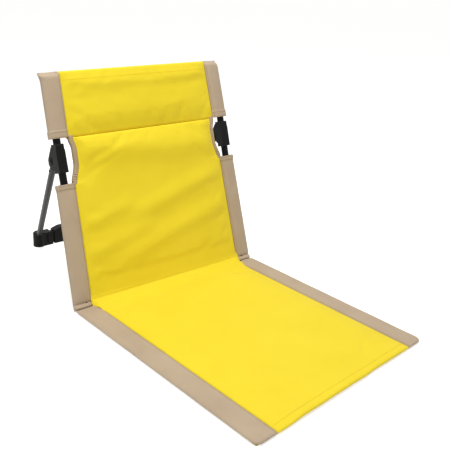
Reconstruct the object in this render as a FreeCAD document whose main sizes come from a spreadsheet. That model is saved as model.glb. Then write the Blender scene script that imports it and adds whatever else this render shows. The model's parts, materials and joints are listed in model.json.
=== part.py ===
import FreeCAD, Part
import os
import math
import Sketcher
from types import SimpleNamespace

# Folding floor chair: a reclined cloth back on two side tubes, propped by a rear leg frame that
# folds on two moulded hubs, with a thin padded seat mat that folds up at the crease.
# Millimetres. +Z is up and the sitter faces -Y. The origin lies on the floor, in the middle of
# the length from the mat's front edge to the rear feet.

driving_sizes = [
    ("fabric_width", 450, "across the borders at the crease"),
    ("side_taper", 14, "how much each side comes in from the crease to the top edge"),
    ("back_length", 448, "floor to top edge along the back"),
    ("recline", 16.5, "lean of the back from upright, degrees"),
    ("border_width", 44, "flat width of the side borders of the mat"),
    ("sleeve_width", 38, "flat width of the sleeves and pockets on the back"),
    ("cloth_gap", 0.3, "room between neighbouring soft pieces"),
    ("tube_inset", 25.5, "side tube axis in from the fabric edge at the crease"),
    ("tube_diameter", 14.5, "side tube outside"),
    ("tube_wall", 1.2, "side tube wall"),
    ("tube_setback", 9.4, "side tube axis behind the crease at floor level"),
    ("tube_start", 8, "lower tube end from the floor along the back"),
    ("tube_top_gap", 14, "upper tube end below the top edge"),
    ("cap_flange", 3, "thickness of a tube cap outside its tube"),
    ("cap_plug", 12, "length of a tube cap inside its tube"),
    ("seat_fit", 0.05, "radial room of pressed and seated parts"),
    ("running_fit", 0.05, "radial room of the pivot"),
    ("hub_base", 262, "underside of the hub along the back"),
    ("hub_height", 54, "hub length on the tube"),
    ("hub_width", 19, "hub body across"),
    ("hub_wall", 2.3, "hub wall around the tube"),
    ("collar_height", 11, "upper collar of the hub"),
    ("collar_width", 17, "upper collar across"),
    ("collar_front", 2, "slope at the top of the collar, front to back"),
    ("collar_slope", 3, "slope at the top of the collar, its height"),
    ("hub_round", 0.8, "rounding of the front corners of the hub"),
    ("web_base", 7, "lower end of the web above the underside of the hub"),
    ("web_slope", 4, "first straight of the underside of the web"),
    ("web_lap", 1, "how far the web reaches into the block"),
    ("pivot_up", 24, "leg pivot above the underside of the hub"),
    ("pivot_depth", 22, "leg pivot behind the tube axis"),
    ("ear_radius", 9, "hub ear around the pivot"),
    ("cheek_step", 1, "hub ear and web in from each side of the hub"),
    ("boss_height", 0.8, "raised boss on each hub ear"),
    ("tongue_width", 8.8, "leg fitting between the hub ears"),
    ("tongue_gap", 0.3, "side room of the tongue"),
    ("tongue_round", 0.5, "round end of the tongue inside the ear outline"),
    ("slot_rise", 14.5, "top of the slot above the pivot"),
    ("neck_width", 11, "neck of the leg fitting"),
    ("neck_lap", 5, "how far the neck reaches into the shoulder"),
    ("nose_height", 6, "stop nose above the pivot"),
    ("nose_start", 2, "stop nose from the pivot"),
    ("pin_diameter", 6, "pivot rivet shank"),
    ("pin_head_radius", 5, "pivot rivet head"),
    ("pin_head_height", 1.6, "pivot rivet head"),
    ("leg_lean", 43.5, "lean of the rear legs from upright, degrees"),
    ("strut_diameter", 12.5, "rear leg tube outside"),
    ("strut_wall", 1.1, "rear leg tube wall"),
    ("shoulder_start", 13, "leg fitting shoulder from the pivot"),
    ("shoulder_length", 13, "leg fitting shoulder"),
    ("plug_length", 20, "leg fitting inside its tube"),
    ("rivet_diameter", 3.2, "small blind rivets"),
    ("rivet_rim", 1.2, "head of a blind rivet past its shank"),
    ("rivet_head", 0.9, "height of the head of a blind rivet"),
    ("rivet_clearance", 0.1, "leg rivet heads off the tube"),
    ("rivet_tail", 2, "foot rivet end inside the leg tube"),
    ("rivet_room", 0.5, "room around a rivet head or end"),
    ("leg_inset", 76, "corner foot centre in from its side tube"),
    ("foot_radius", 13, "corner foot boss"),
    ("foot_round", 2, "rounding of the top of the boss"),
    ("rivet_sink", 1, "foot rivet head below the face of the boss"),
    ("foot_height", 33, "corner foot"),
    ("foot_grip_height", 22, "height of the leg axis at the foot centre"),
    ("socket_depth", 8, "leg tube end past the foot centre"),
    ("foot_arm", 30, "corner foot arm from its centre"),
    ("foot_arm_depth", 21, "corner foot arm, front to back"),
    ("arm_drop", 1.5, "top of the arm below that of the boss"),
    ("arm_bevel", 3, "slope at the top end of the arm"),
    ("groove_start", 3, "parting groove of the arm from the boss"),
    ("groove_width", 2, "parting groove"),
    ("groove_depth", 1, "parting groove"),
    ("groove_base", 6, "lower end of the parting groove"),
    ("groove_gap", 5, "upper end of the parting groove below the top of the arm"),
    ("bar_depth", 15, "rear cross bar, front to back"),
    ("bar_bottom", 3, "underside of the rear cross bar"),
    ("bar_top", 29, "top of the rear cross bar"),
    ("bar_bevel", 2, "bevelled edges of the rear cross bar"),
    ("tenon_length", 14, "cross bar end inside a foot"),
    ("tenon_step", 2.5, "cross bar shoulder all round a tenon"),
    ("grip_margin", 5, "cross bar left bare at each end of its raised sleeve"),
    ("grip_wall", 2.4, "wall of the raised sleeve in front and behind"),
    ("grip_top", 37.5, "top of the raised sleeve"),
    ("grip_shoulder", 3, "end of the raised sleeve above the bar"),
    ("grip_slope", 16, "length of the slope at each end of the raised sleeve"),
    ("grip_round", 1.5, "rounding of the raised sleeve"),
    ("mouth_gap", 22, "bare tube between a lower sleeve and its hub"),
    ("seam_gap", 9, "bare tube between a hub and the header seam"),
    ("sleeve_thickness", 19, "sleeve over its tube"),
    ("edge_thickness", 3.6, "soft pieces at their sewn edges"),
    ("cutout_depth", 5.5, "how far the side cut-outs bow in"),
    ("binding_width", 10.5, "tape around the cut-outs"),
    ("panel_front", 6, "fullness of the back panel to the front"),
    ("panel_rear", 2.5, "back panel behind its middle plane"),
    ("fold_width", 17, "half width of a hanging fold of the back panel"),
    ("fold_ease", 30, "how far a fold takes to fade out at its ends"),
    ("lining_thickness", 1, "cloth behind the back and under the seat"),
    ("seat_length", 478, "crease to front edge"),
    ("seat_thickness", 8, "seat mat at the crease"),
    ("seat_crown", 3, "fullness of the seat panel"),
    ("foam_thickness", 3, "foam sheet inside the mat"),
    ("hem_width", 14, "front hem of the mat"),
]

doc = FreeCAD.newDocument("folding_floor_chair")
sheet = doc.addObject("Spreadsheet::Sheet", "params")
for row, (alias, number, note) in enumerate(driving_sizes, start=1):
    sheet.set("A%d" % row, alias)
    sheet.set("B%d" % row, str(number))
    sheet.set("C%d" % row, note)
    sheet.setAlias("B%d" % row, alias)
doc.recompute()

pieces = []
vec = FreeCAD.Vector


# Expressions by name: each driving size, then lengths worked out from several of them
S = SimpleNamespace(**{alias: "params." + alias for alias, number, note in driving_sizes})
S.tube_radius = "(params.tube_diameter / 2)"
S.tube_bore = "(params.tube_diameter / 2 - params.tube_wall)"
S.tube_length = "(params.back_length - params.tube_start - params.tube_top_gap)"
S.strut_bore = "(params.strut_diameter / 2 - params.strut_wall)"
S.slot_width = "(params.tongue_width + 2 * params.tongue_gap)"
S.fabric_top_width = "(params.fabric_width - 2 * params.side_taper)"
S.tube_spacing = "(params.fabric_width - 2 * params.tube_inset)"
S.foot_spacing = "(%s - 2 * params.leg_inset)" % S.tube_spacing
S.bar_length = "(%s - 2 * params.foot_arm)" % S.foot_spacing
S.grip_length = "(%s - 2 * params.grip_margin)" % S.bar_length
S.lower_mouth = "(params.hub_base - params.mouth_gap)"
S.seam_height = "(params.hub_base + params.hub_height + params.seam_gap)"
S.pivot_along = "(params.hub_base + params.pivot_up)"
S.pivot_y = "(%s + %s * sin(%s) + %s * cos(%s))" % (
    S.tube_setback, S.pivot_along, S.recline, S.pivot_depth, S.recline)
S.pivot_z = "(%s * cos(%s) - %s * sin(%s))" % (
    S.pivot_along, S.recline, S.pivot_depth, S.recline)
S.leg_drop = "(%s - params.foot_grip_height)" % S.pivot_z
S.leg_reach = "(%s / cos(params.leg_lean))" % S.leg_drop
S.foot_y = "(%s + %s * tan(params.leg_lean))" % (S.pivot_y, S.leg_drop)
S.middle = "((params.seat_length - params.foot_radius - %s) / 2)" % S.foot_y
S.leg_length = "sqrt(%s * %s + %s * %s)" % (S.leg_inset, S.leg_inset, S.leg_reach, S.leg_reach)
S.leg_splay = "atan(%s / %s)" % (S.leg_inset, S.leg_reach)
S.foot_pin_seat = "(params.foot_radius - params.rivet_sink)"
S.web_width = "(params.hub_width - 2 * params.cheek_step)"
S.hub_front = "(params.tube_diameter / 2 + params.hub_wall)"


def num(expression):
    """The present value of an expression."""
    result = sheet.evalExpression(expression)
    return float(getattr(result, "Value", result))


def at(x="0", y="0", z="0", turn="rotationx(0)"):
    return "placement(vector(%s; %s; %s); %s)" % (x, y, z, turn)


# Frames: the back leans on the crease, the leg frame hangs from the pivot axis.
crease_frame = at(y=S.middle)
back_frame = crease_frame + " * " + at(y=S.tube_setback, turn="rotationx(-params.recline)")
leg_frame = back_frame + " * " + at(
    y=S.pivot_depth, z=S.pivot_along, turn="rotationx(params.recline + params.leg_lean)")
floor_frame = crease_frame + " * " + at(y=S.foot_y)


def sideways(side, distance):
    """Signed expression: side -1 is the left of the picture, +1 the right."""
    return "(%d * %s)" % (side, distance)


def tube_frame(side, along="0"):
    return back_frame + " * " + at(x=sideways(side, S.tube_spacing + " / 2"), z=along)


def strut_pivot_frame(side):
    return leg_frame + " * " + at(x=sideways(side, S.tube_spacing + " / 2"))


def strut_frame(side):
    return strut_pivot_frame(side) + " * " + at(turn="rotationy(%d * %s)" % (side, S.leg_splay))


def foot_frame(side):
    return floor_frame + " * " + at(x=sideways(side, S.foot_spacing + " / 2"))


def place(piece, frame):
    piece.setExpression("Placement", frame)


def new_body(name, frame):
    body = doc.addObject("PartDesign::Body", name)
    body.Label = name
    place(body, frame)
    return body


def keep(piece, name):
    piece.Label = name
    pieces.append(piece)
    return piece


def new_sketch(body, role, name):
    sketch = body.newObject("Sketcher::SketchObject", name)
    plane = [f for f in body.Origin.OriginFeatures if f.Role == role][0]
    sketch.AttachmentSupport = [(plane, "")]
    sketch.MapMode = "FlatFace"
    return sketch


def bind(sketch, constraint, expression):
    index = sketch.addConstraint(constraint)
    name = "size%d" % index
    sketch.renameConstraint(index, name)
    sketch.setExpression("Constraints." + name, expression)


def circle(sketch, radius, across="0", up="0"):
    centre = vec(num(across), num(up), 0)
    shape = Part.Circle(centre, vec(0, 0, 1), num(radius))
    index = sketch.addGeometry(shape, False)
    bind(sketch, Sketcher.Constraint("Radius", index, num(radius)), radius)
    bind(sketch, Sketcher.Constraint("DistanceX", -1, 1, index, 3, num(across)), across)
    bind(sketch, Sketcher.Constraint("DistanceY", -1, 1, index, 3, num(up)), up)


def polygon(sketch, corners):
    """A closed outline of straight lines through corners given as pairs of expressions."""
    count = len(corners)
    spots = [vec(num(x), num(y), 0) for x, y in corners]
    first = sketch.GeometryCount
    for i in range(count):
        sketch.addGeometry(Part.LineSegment(spots[i], spots[(i + 1) % count]), False)
    for i in range(count):
        follower = first + (i + 1) % count
        sketch.addConstraint(Sketcher.Constraint("Coincident", first + i, 2, follower, 1))
    for i, (x, y) in enumerate(corners):
        bind(sketch, Sketcher.Constraint("DistanceX", -1, 1, first + i, 1, spots[i].x), x)
        bind(sketch, Sketcher.Constraint("DistanceY", -1, 1, first + i, 1, spots[i].y), y)


def rectangle(sketch, low_x, low_y, high_x, high_y):
    polygon(sketch, [(low_x, low_y), (high_x, low_y), (high_x, high_y), (low_x, high_y)])


def pad(body, sketch, length, middle=False, reverse=False):
    feature = body.newObject("PartDesign::Pad", sketch.Name + "_pad")
    feature.Profile = sketch
    feature.setExpression("Length", length)
    if middle:
        feature.SideType = "Symmetric"
    feature.Reversed = reverse
    return feature


def pocket(body, sketch, length=None):
    """Cuts both ways from the sketch: right through, or a stated total length."""
    feature = body.newObject("PartDesign::Pocket", sketch.Name + "_cut")
    feature.Profile = sketch
    feature.SideType = "Symmetric"
    if length is None:
        feature.Type = "ThroughAll"
    else:
        feature.setExpression("Length", length)
    return feature


def revolve(body, sketch, axis):
    feature = body.newObject("PartDesign::Revolution", sketch.Name + "_turn")
    feature.Profile = sketch
    feature.ReferenceAxis = (sketch, [axis])
    return feature


def soften(body, base, kind, size, chosen):
    """Rounds or bevels the edges of a feature that the chosen test picks out."""
    doc.recompute()
    names = ["Edge%d" % (i + 1) for i, edge in enumerate(base.Shape.Edges) if chosen(edge)]
    feature = body.newObject("PartDesign::" + kind, base.Name + "_edges")
    feature.Base = (base, names)
    feature.setExpression("Radius" if kind == "Fillet" else "Size", size)
    return feature


def runs_along(axis):
    """Picks straight edges parallel to one axis."""
    def test(edge):
        if not isinstance(edge.Curve, Part.Line):
            return False
        return abs(abs(edge.Curve.Direction.dot(axis)) - 1) < 1e-6
    return test


# Side tubes and their caps

def side_tube(side, name):
    body = new_body(name, tube_frame(side, S.tube_start))
    ring = new_sketch(body, "XY_Plane", name + "_ring")
    circle(ring, S.tube_radius)
    circle(ring, S.tube_bore)
    pad(body, ring, S.tube_length)
    keep(body, name)


def tube_cap(side, name, along, turned):
    frame = tube_frame(side, along)
    if turned:
        frame += " * " + at(turn="rotationx(180)")
    body = new_body(name, frame)
    half = new_sketch(body, "XZ_Plane", name + "_half")
    plug = "(%s - %s)" % (S.tube_bore, S.seat_fit)
    rim = "(%s - 1.5)" % S.tube_radius
    polygon(half, [("0", "-" + S.cap_flange), (rim, "-" + S.cap_flange),
                   (S.tube_radius, "-%s / 2" % S.cap_flange), (S.tube_radius, "0"),
                   (plug, "0"), (plug, S.cap_plug), ("0", S.cap_plug)])
    revolve(body, half, "V_Axis")
    keep(body, name)


# Hub: a moulded block on the tube, with a slotted ear at the back for the rear leg

def hub(side, name):
    body = new_body(name, tube_frame(side, S.hub_base))
    front = "(-%s)" % S.hub_front
    rear = S.hub_front
    shoulder = "(%s - %s)" % (S.hub_height, S.collar_height)
    block = new_sketch(body, "YZ_Plane", name + "_block")
    polygon(block, [(front, "0"), (rear, "0"), (rear, shoulder),
                    (front, shoulder)])
    pad(body, block, S.hub_width, middle=True)
    collar = new_sketch(body, "YZ_Plane", name + "_collar")
    slope_foot = "(%s - %s)" % (S.hub_height, S.collar_slope)
    slope_top = "(%s + %s)" % (front, S.collar_front)
    polygon(collar, [(front, shoulder), (rear, shoulder), (rear, S.hub_height),
                     (slope_top, S.hub_height), (front, slope_foot)])
    pad(body, collar, S.collar_width, middle=True)
    web = new_sketch(body, "YZ_Plane", name + "_web")
    ear_rear = "(%s + 0.8 * %s)" % (S.pivot_depth, S.ear_radius)
    ear_top = "(%s + 0.6 * %s)" % (S.pivot_up, S.ear_radius)
    ear_foot = "(%s - 0.95 * %s)" % (S.pivot_up, S.ear_radius)
    inside = "(%s - %s)" % (rear, S.web_lap)
    bend = "(%s + %s)" % (rear, S.web_slope)
    bend_up = "(%s + %s / 2)" % (S.web_base, S.web_slope)
    ear_front = "(%s - %s / 3)" % (S.pivot_depth, S.ear_radius)
    web_top = "(%s - %s)" % (S.hub_height, S.web_slope)
    polygon(web, [(inside, S.web_base), (bend, bend_up), (ear_front, ear_foot),
                  (S.pivot_depth, S.pivot_up), (ear_rear, ear_top),
                  ("(%s + %s / 2)" % (rear, S.web_slope), web_top), (inside, web_top)])
    pad(body, web, S.web_width, middle=True)
    ear = new_sketch(body, "YZ_Plane", name + "_ear")
    circle(ear, S.ear_radius, S.pivot_depth, S.pivot_up)
    last = pad(body, ear, S.web_width, middle=True)
    last = soften(body, last, "Fillet", S.hub_round, lambda edge: runs_along(vec(0, 0, 1))(edge)
                  and edge.BoundBox.YMax < 0)
    boss = new_sketch(body, "YZ_Plane", name + "_boss")
    circle(boss, "(%s - 2 * %s)" % (S.ear_radius, S.cheek_step), S.pivot_depth, S.pivot_up)
    pad(body, boss, "(%s + 2 * %s)" % (S.web_width, S.boss_height), middle=True)
    bore = new_sketch(body, "XY_Plane", name + "_bore")
    circle(bore, "(%s + %s)" % (S.tube_radius, S.seat_fit))
    pocket(body, bore)
    slot = new_sketch(body, "YZ_Plane", name + "_slot")
    slot_top = "(%s + %s)" % (S.pivot_up, S.slot_rise)
    rectangle(slot, rear, "0", "(%s + 2 * %s)" % (S.pivot_depth, S.ear_radius), slot_top)
    pocket(body, slot, S.slot_width)
    hole = new_sketch(body, "YZ_Plane", name + "_hole")
    circle(hole, "(%s / 2 + %s)" % (S.pin_diameter, S.seat_fit), S.pivot_depth, S.pivot_up)
    pocket(body, hole)
    keep(body, name)


def pivot_rivet(side, name):
    body = new_body(name, tube_frame(side, S.pivot_along) + " * " + at(y=S.pivot_depth))
    half = new_sketch(body, "XY_Plane", name + "_half")
    face = "(%s / 2 + %s)" % (S.web_width, S.boss_height)
    end = "(%s + %s)" % (face, S.pin_head_height)
    shank = "(%s / 2)" % S.pin_diameter
    outline = []
    for sign in (-1, 1):
        ring = [("%d * %s" % (sign, end), "0"),
                ("%d * %s" % (sign, end), "(0.6 * %s)" % S.pin_head_radius),
                ("%d * %s" % (sign, face), S.pin_head_radius),
                ("%d * %s" % (sign, face), shank)]
        outline += ring if sign < 0 else ring[::-1]
    polygon(half, outline)
    revolve(body, half, "H_Axis")
    keep(body, name)


# Rear legs

def strut_end(side, name):
    """Moulded fitting: a flat tongue on the pivot with a stop nose, and a plug in the leg tube."""
    tongue = new_body(name + "_tongue", strut_pivot_frame(side))
    round_end = new_sketch(tongue, "YZ_Plane", name + "_round")
    circle(round_end, "(%s - %s)" % (S.ear_radius, S.tongue_round))
    pad(tongue, round_end, S.tongue_width, middle=True)
    neck = new_sketch(tongue, "YZ_Plane", name + "_neck")
    neck_end = "(-%s - %s)" % (S.shoulder_start, S.neck_lap)
    neck_side = "(%s / 2)" % S.neck_width
    rectangle(neck, "-" + neck_side, neck_end, neck_side, "0")
    pad(tongue, neck, S.tongue_width, middle=True)
    nose = new_sketch(tongue, "YZ_Plane", name + "_nose")
    nose.setExpression("AttachmentOffset", at(
        turn="rotationz(-(%s + %s))" % (S.recline, S.leg_lean)))
    reach = "(%s - %s - %s)" % (S.pivot_depth, S.hub_front, S.tongue_gap)
    rectangle(nose, "(-%s)" % reach, "0", "(-%s)" % S.nose_start, S.nose_height)
    pad(tongue, nose, S.tongue_width, middle=True)
    hole = new_sketch(tongue, "YZ_Plane", name + "_hole")
    circle(hole, "(%s / 2 + %s)" % (S.pin_diameter, S.running_fit))
    pocket(tongue, hole)
    shank = new_body(name + "_shank", strut_frame(side))
    half = new_sketch(shank, "XZ_Plane", name + "_half")
    top = "(-%s)" % S.shoulder_start
    step = "(-%s - %s)" % (S.shoulder_start, S.shoulder_length)
    tip = "(%s - %s)" % (step, S.plug_length)
    outer = "(%s / 2)" % S.strut_diameter
    plug = "(%s - %s)" % (S.strut_bore, S.seat_fit)
    polygon(half, [("0", top), (outer + " - 1", top), (outer, top + " - 1.5"), (outer, step),
                   (plug, step), (plug, tip), ("0", tip)])
    revolve(shank, half, "V_Axis")
    cross = new_sketch(shank, "YZ_Plane", name + "_cross")
    circle(cross, "(%s / 2 + %s)" % (S.rivet_diameter, S.seat_fit), "0",
           "(%s - %s / 2)" % (step, S.plug_length))
    pocket(shank, cross)
    whole = doc.addObject("Part::Fuse", name)
    whole.Base = tongue
    whole.Tool = shank
    keep(whole, name)


def strut(side, name):
    body = new_body(name, strut_frame(side))
    ring = new_sketch(body, "XY_Plane", name + "_ring")
    circle(ring, "(%s / 2)" % S.strut_diameter)
    circle(ring, S.strut_bore)
    top = "(-%s - %s)" % (S.shoulder_start, S.shoulder_length)
    ring.setExpression("AttachmentOffset", at(z=top))
    pad(body, ring, "(%s + %s + %s)" % (S.leg_length, S.socket_depth, top), reverse=True)
    upper = new_sketch(body, "YZ_Plane", name + "_upper")
    circle(upper, "(%s / 2 + %s)" % (S.rivet_diameter, S.seat_fit), "0",
           "(%s - %s / 2)" % (top, S.plug_length))
    pocket(body, upper)
    lower = new_sketch(body, "YZ_Plane", name + "_lower")
    circle(lower, "(%s / 2 + %s)" % (S.rivet_diameter, S.seat_fit), "0", "(-%s)" % S.leg_length)
    pocket(body, lower)
    keep(body, name)


def rivet(name, frame, tail, seat, tail_head):
    """A rivet along X: a low head outside the seat, and a second one where it has a formed tail."""
    body = new_body(name, frame)
    half = new_sketch(body, "XY_Plane", name + "_half")
    shank = "(%s / 2)" % S.rivet_diameter
    head = "(%s + %s)" % (shank, S.rivet_rim)
    outline = [(tail, "0"), (tail, shank)]
    if tail_head:
        far = "(%s - %s)" % (tail, S.rivet_head)
        outline = [(far, "0"), (far, shank), (tail, head), (tail, shank)]
    top = "(%s + %s)" % (seat, S.rivet_head)
    outline += [(seat, shank), (seat, head), (top, shank), (top, "0")]
    polygon(half, outline)
    revolve(body, half, "H_Axis")
    keep(body, name)


def outward(side):
    """Turns +X of a part to the outer side of the chair."""
    return at(turn="rotationz(%d)" % (0 if side > 0 else 180))


def leg_rivets(side, word):
    """One rivet holds the leg tube on its fitting, another pins it in its foot."""
    upper = "(-%s - %s - %s / 2)" % (S.shoulder_start, S.shoulder_length, S.plug_length)
    reach = "(%s / 2 + %s)" % (S.strut_diameter, S.rivet_clearance)
    rivet("leg_rivet_" + word, strut_frame(side) + " * " + at(z=upper), "(-%s)" % reach, reach,
          True)
    rivet("foot_rivet_" + word, strut_frame(side) + " * " + at(
        z="(-%s)" % S.leg_length) + " * " + outward(side),
        "(-%s / 2 - %s)" % (S.strut_diameter, S.rivet_tail), S.foot_pin_seat, False)


def corner_foot(side, name):
    """Moulded foot: a round boss for the leg tube and a short arm that takes the cross bar."""
    body = new_body(name + "_block", foot_frame(side))
    inward = -side
    base = new_sketch(body, "XY_Plane", name + "_base")
    circle(base, S.foot_radius)
    last = pad(body, base, S.foot_height)
    soften(body, last, "Chamfer", S.foot_round,
           lambda edge: edge.BoundBox.ZMin > num(S.foot_height) - 0.01)
    arm = new_sketch(body, "XZ_Plane", name + "_arm")
    arm_top = "(%s - %s)" % (S.foot_height, S.arm_drop)
    arm_end = "%d * %s" % (inward, S.foot_arm)
    arm_near = "%d * (%s - %s)" % (inward, S.foot_arm, S.arm_bevel)
    bevel_foot = "(%s - %s)" % (arm_top, S.arm_bevel)
    polygon(arm, [("0", "0"), (arm_end, "0"), (arm_end, bevel_foot), (arm_near, arm_top),
                  ("0", arm_top)])
    pad(body, arm, S.foot_arm_depth, middle=True)
    groove = new_sketch(body, "XZ_Plane", name + "_groove")
    start = "%d * (%s + %s)" % (inward, S.foot_radius, S.groove_start)
    end = "(%s + %d * %s)" % (start, inward, S.groove_width)
    groove_top = "(%s - %s)" % (arm_top, S.groove_gap)
    polygon(groove, [(start, S.groove_base), (end, S.groove_base), (end, groove_top),
                     (start, groove_top)])
    pocket(body, groove, "(%s + 2)" % S.foot_arm_depth)
    socket = new_sketch(body, "YZ_Plane", name + "_socket")
    socket.setExpression("AttachmentOffset", at(z="%d * %s" % (inward, S.foot_arm)))
    half = "(%s / 2 - %s + %s)" % (S.bar_depth, S.tenon_step, S.cloth_gap)
    rectangle(socket, "-" + half, "(%s + %s - %s)" % (S.bar_bottom, S.tenon_step, S.cloth_gap),
              half, "(%s - %s + %s)" % (S.bar_top, S.tenon_step, S.cloth_gap))
    pocket(body, socket, "2 * (%s + %s)" % (S.tenon_length, S.cloth_gap))
    tool = doc.addObject("Part::Cylinder", name + "_leg_tool")
    tool.setExpression("Radius", "(%s / 2 + %s)" % (S.strut_diameter, S.seat_fit))
    tool.setExpression("Height", "(%s + %s)" % (S.foot_height, S.socket_depth))
    place(tool, strut_frame(side) + " * " + at(z="(-%s - %s)" % (S.leg_length, S.socket_depth)))
    pin_frame = strut_frame(side) + " * " + at(z="(-%s)" % S.leg_length) + " * " + outward(side)
    hole = doc.addObject("Part::Cylinder", name + "_rivet_tool")
    hole.setExpression("Radius", "(%s / 2 + %s)" % (S.rivet_diameter, S.seat_fit))
    hole_start = "(%s / 2 + %s + %s)" % (S.strut_diameter, S.rivet_tail, S.rivet_room)
    hole.setExpression("Height", "(%s + %s)" % (hole_start, S.foot_radius))
    place(hole, pin_frame + " * " + at(x="(-%s)" % hole_start, turn="rotationy(90)"))
    seat = doc.addObject("Part::Cylinder", name + "_rivet_seat")
    seat.setExpression("Radius", "(%s / 2 + %s + %s)" % (
        S.rivet_diameter, S.rivet_rim, S.rivet_room))
    seat.setExpression("Height", S.foot_radius)
    place(seat, pin_frame + " * " + at(x=S.foot_pin_seat, turn="rotationy(90)"))
    tools = doc.addObject("Part::MultiFuse", name + "_tools")
    tools.Shapes = [tool, hole, seat]
    whole = doc.addObject("Part::Cut", name)
    whole.Base = body
    whole.Tool = tools
    keep(whole, name)


def rear_cross_bar(name):
    body = new_body(name, floor_frame)
    section = new_sketch(body, "YZ_Plane", name + "_section")
    half = "(%s / 2)" % S.bar_depth
    flat = "(%s - %s)" % (half, S.bar_bevel)
    low = "(%s + %s)" % (S.bar_bottom, S.bar_bevel)
    high = "(%s - %s)" % (S.bar_top, S.bar_bevel)
    polygon(section, [("-" + flat, S.bar_bottom), (flat, S.bar_bottom), (half, low), (half, high),
                      (flat, S.bar_top), ("-" + flat, S.bar_top), ("-" + half, high),
                      ("-" + half, low)])
    pad(body, section, S.bar_length, middle=True)
    tenon = new_sketch(body, "YZ_Plane", name + "_tenon")
    inner = "(%s / 2 - %s)" % (S.bar_depth, S.tenon_step)
    rectangle(tenon, "-" + inner, "(%s + %s)" % (S.bar_bottom, S.tenon_step),
              inner, "(%s - %s)" % (S.bar_top, S.tenon_step))
    pad(body, tenon, "(%s + 2 * %s)" % (S.bar_length, S.tenon_length), middle=True)
    keep(body, name)


def cross_bar_grip(name):
    body = new_body(name, floor_frame)
    outline = new_sketch(body, "XZ_Plane", name + "_outline")
    half = "(%s / 2)" % S.grip_length
    low = "(%s - %s)" % (S.bar_bottom, S.grip_wall)
    slope_foot = "(%s + %s)" % (S.bar_top, S.grip_shoulder)
    slope_end = "(%s - %s)" % (half, S.grip_slope)
    polygon(outline, [("-" + half, low), (half, low), (half, slope_foot),
                      (slope_end, S.grip_top), ("-" + slope_end, S.grip_top),
                      ("-" + half, slope_foot)])
    last = pad(body, outline, "(%s + 2 * %s)" % (S.bar_depth, S.grip_wall), middle=True)
    soften(body, last, "Fillet", S.grip_round, lambda edge: edge.BoundBox.ZMin > num(S.bar_top)
           and not runs_along(vec(0, 1, 0))(edge))
    bore = new_sketch(body, "YZ_Plane", name + "_bore")
    room = "(%s / 2 + %s)" % (S.bar_depth, S.seat_fit)
    rectangle(bore, "-" + room, "(%s - %s)" % (S.bar_bottom, S.seat_fit),
              room, "(%s + %s)" % (S.bar_top, S.seat_fit))
    pocket(body, bore)
    keep(body, name)


# Soft pieces: lofts and prisms in the back frame, x across, y behind the tubes, z along the back

def soft(name, shape, frame=back_frame):
    piece = doc.addObject("Part::Feature", name)
    piece.Shape = shape
    piece.Placement = sheet.evalExpression(frame)
    return keep(piece, name)


def half_width(along):
    """Half the cloth width at a height on the back, from the crease to the narrower top."""
    share = along / num(S.back_length)
    return (num(S.fabric_width) * (1 - share) + num(S.fabric_top_width) * share) / 2


def edge_x(along):
    """Where a sleeve meets the panel."""
    return half_width(along) - num(S.sleeve_width)


def loft(wires, ruled=False):
    """A solid through closed sections: smooth for the padded panels, ruled for the sleeves."""
    solid = Part.makeLoft(wires, True, ruled)
    if solid.Volume < 0:
        solid.reverse()
    return solid


def on_side(side, shape):
    """Shapes are drawn on the right and mirrored to the left."""
    return shape if side > 0 else shape.mirror(vec(0, 0, 0), vec(1, 0, 0))


def sleeve_section(along, thickness, inset=0):
    """Flat in front, rounded at the outer edge, with the bulge of the tube behind."""
    outer = half_width(along) - inset
    inner = edge_x(along) + inset
    ridge, radius = num(S.tube_spacing) / 2, num(S.tube_radius)
    deep, edge = thickness / 2, num(S.edge_thickness) / 2
    shallow, flat = 0.55 * deep, 0.7 * radius
    front = [vec(outer - edge, -shallow, along), vec(ridge + flat, -0.93 * deep, along),
             vec(ridge - flat, -0.93 * deep, along), vec(inner, -shallow, along)]
    rear = [vec(inner, edge, along), vec(ridge, deep, along), vec(outer - edge, edge, along)]
    face = [Part.LineSegment(front[i], front[i + 1]).toShape() for i in range(3)]
    return Part.Wire(face + [Part.LineSegment(front[3], rear[0]).toShape(),
                             Part.Arc(*rear).toShape(),
                             Part.Arc(rear[2], vec(outer, 0, along), front[0]).toShape()])


def bore_for_tube(low, high):
    radius = num(S.tube_radius) + num(S.cloth_gap) / 2
    start = vec(num(S.tube_spacing) / 2, 0, low)
    return Part.makeCylinder(radius, high - low, start, vec(0, 0, 1))


def below_floor():
    """Everything under the floor, as seen in the back frame."""
    big = 2 * num(S.fabric_width)
    box = Part.makeBox(big, big, big, vec(-big / 2, -big / 2, -big))
    box.Placement = sheet.evalExpression(back_frame).inverse()
    return box


def lower_sleeve(side, name):
    full = num(S.sleeve_thickness)
    mouth = num(S.lower_mouth)
    stations = [(-4, full * 0.9, 3), (1, full * 1.06, 1), (8, full * 1.06, 0), (30, full, 0),
                (mouth, full * 0.97, 0)]
    shape = loft([sleeve_section(*station) for station in stations], ruled=True)
    low = num(S.tube_start) - num(S.cap_flange) - num(S.cloth_gap)
    shape = shape.cut(bore_for_tube(low, mouth + 1)).cut(below_floor())
    soft(name, on_side(side, shape))


def upper_pocket(side, name):
    full = num(S.sleeve_thickness)
    mouth = num(S.seam_height) + num(S.cloth_gap)
    top = num(S.back_length)
    tube_end = top - num(S.tube_top_gap) + num(S.cap_flange) + num(S.cloth_gap)
    stations = [(mouth, full * 1.02, 0), (mouth + 30, full, 0), (tube_end + 1, full * 0.98, 0),
                (top - 3, full * 0.6, 0), (top, num(S.edge_thickness) * 1.6, 1)]
    shape = loft([sleeve_section(*station) for station in stations], ruled=True)
    soft(name, on_side(side, shape.cut(bore_for_tube(mouth - 1, tube_end))))


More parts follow.
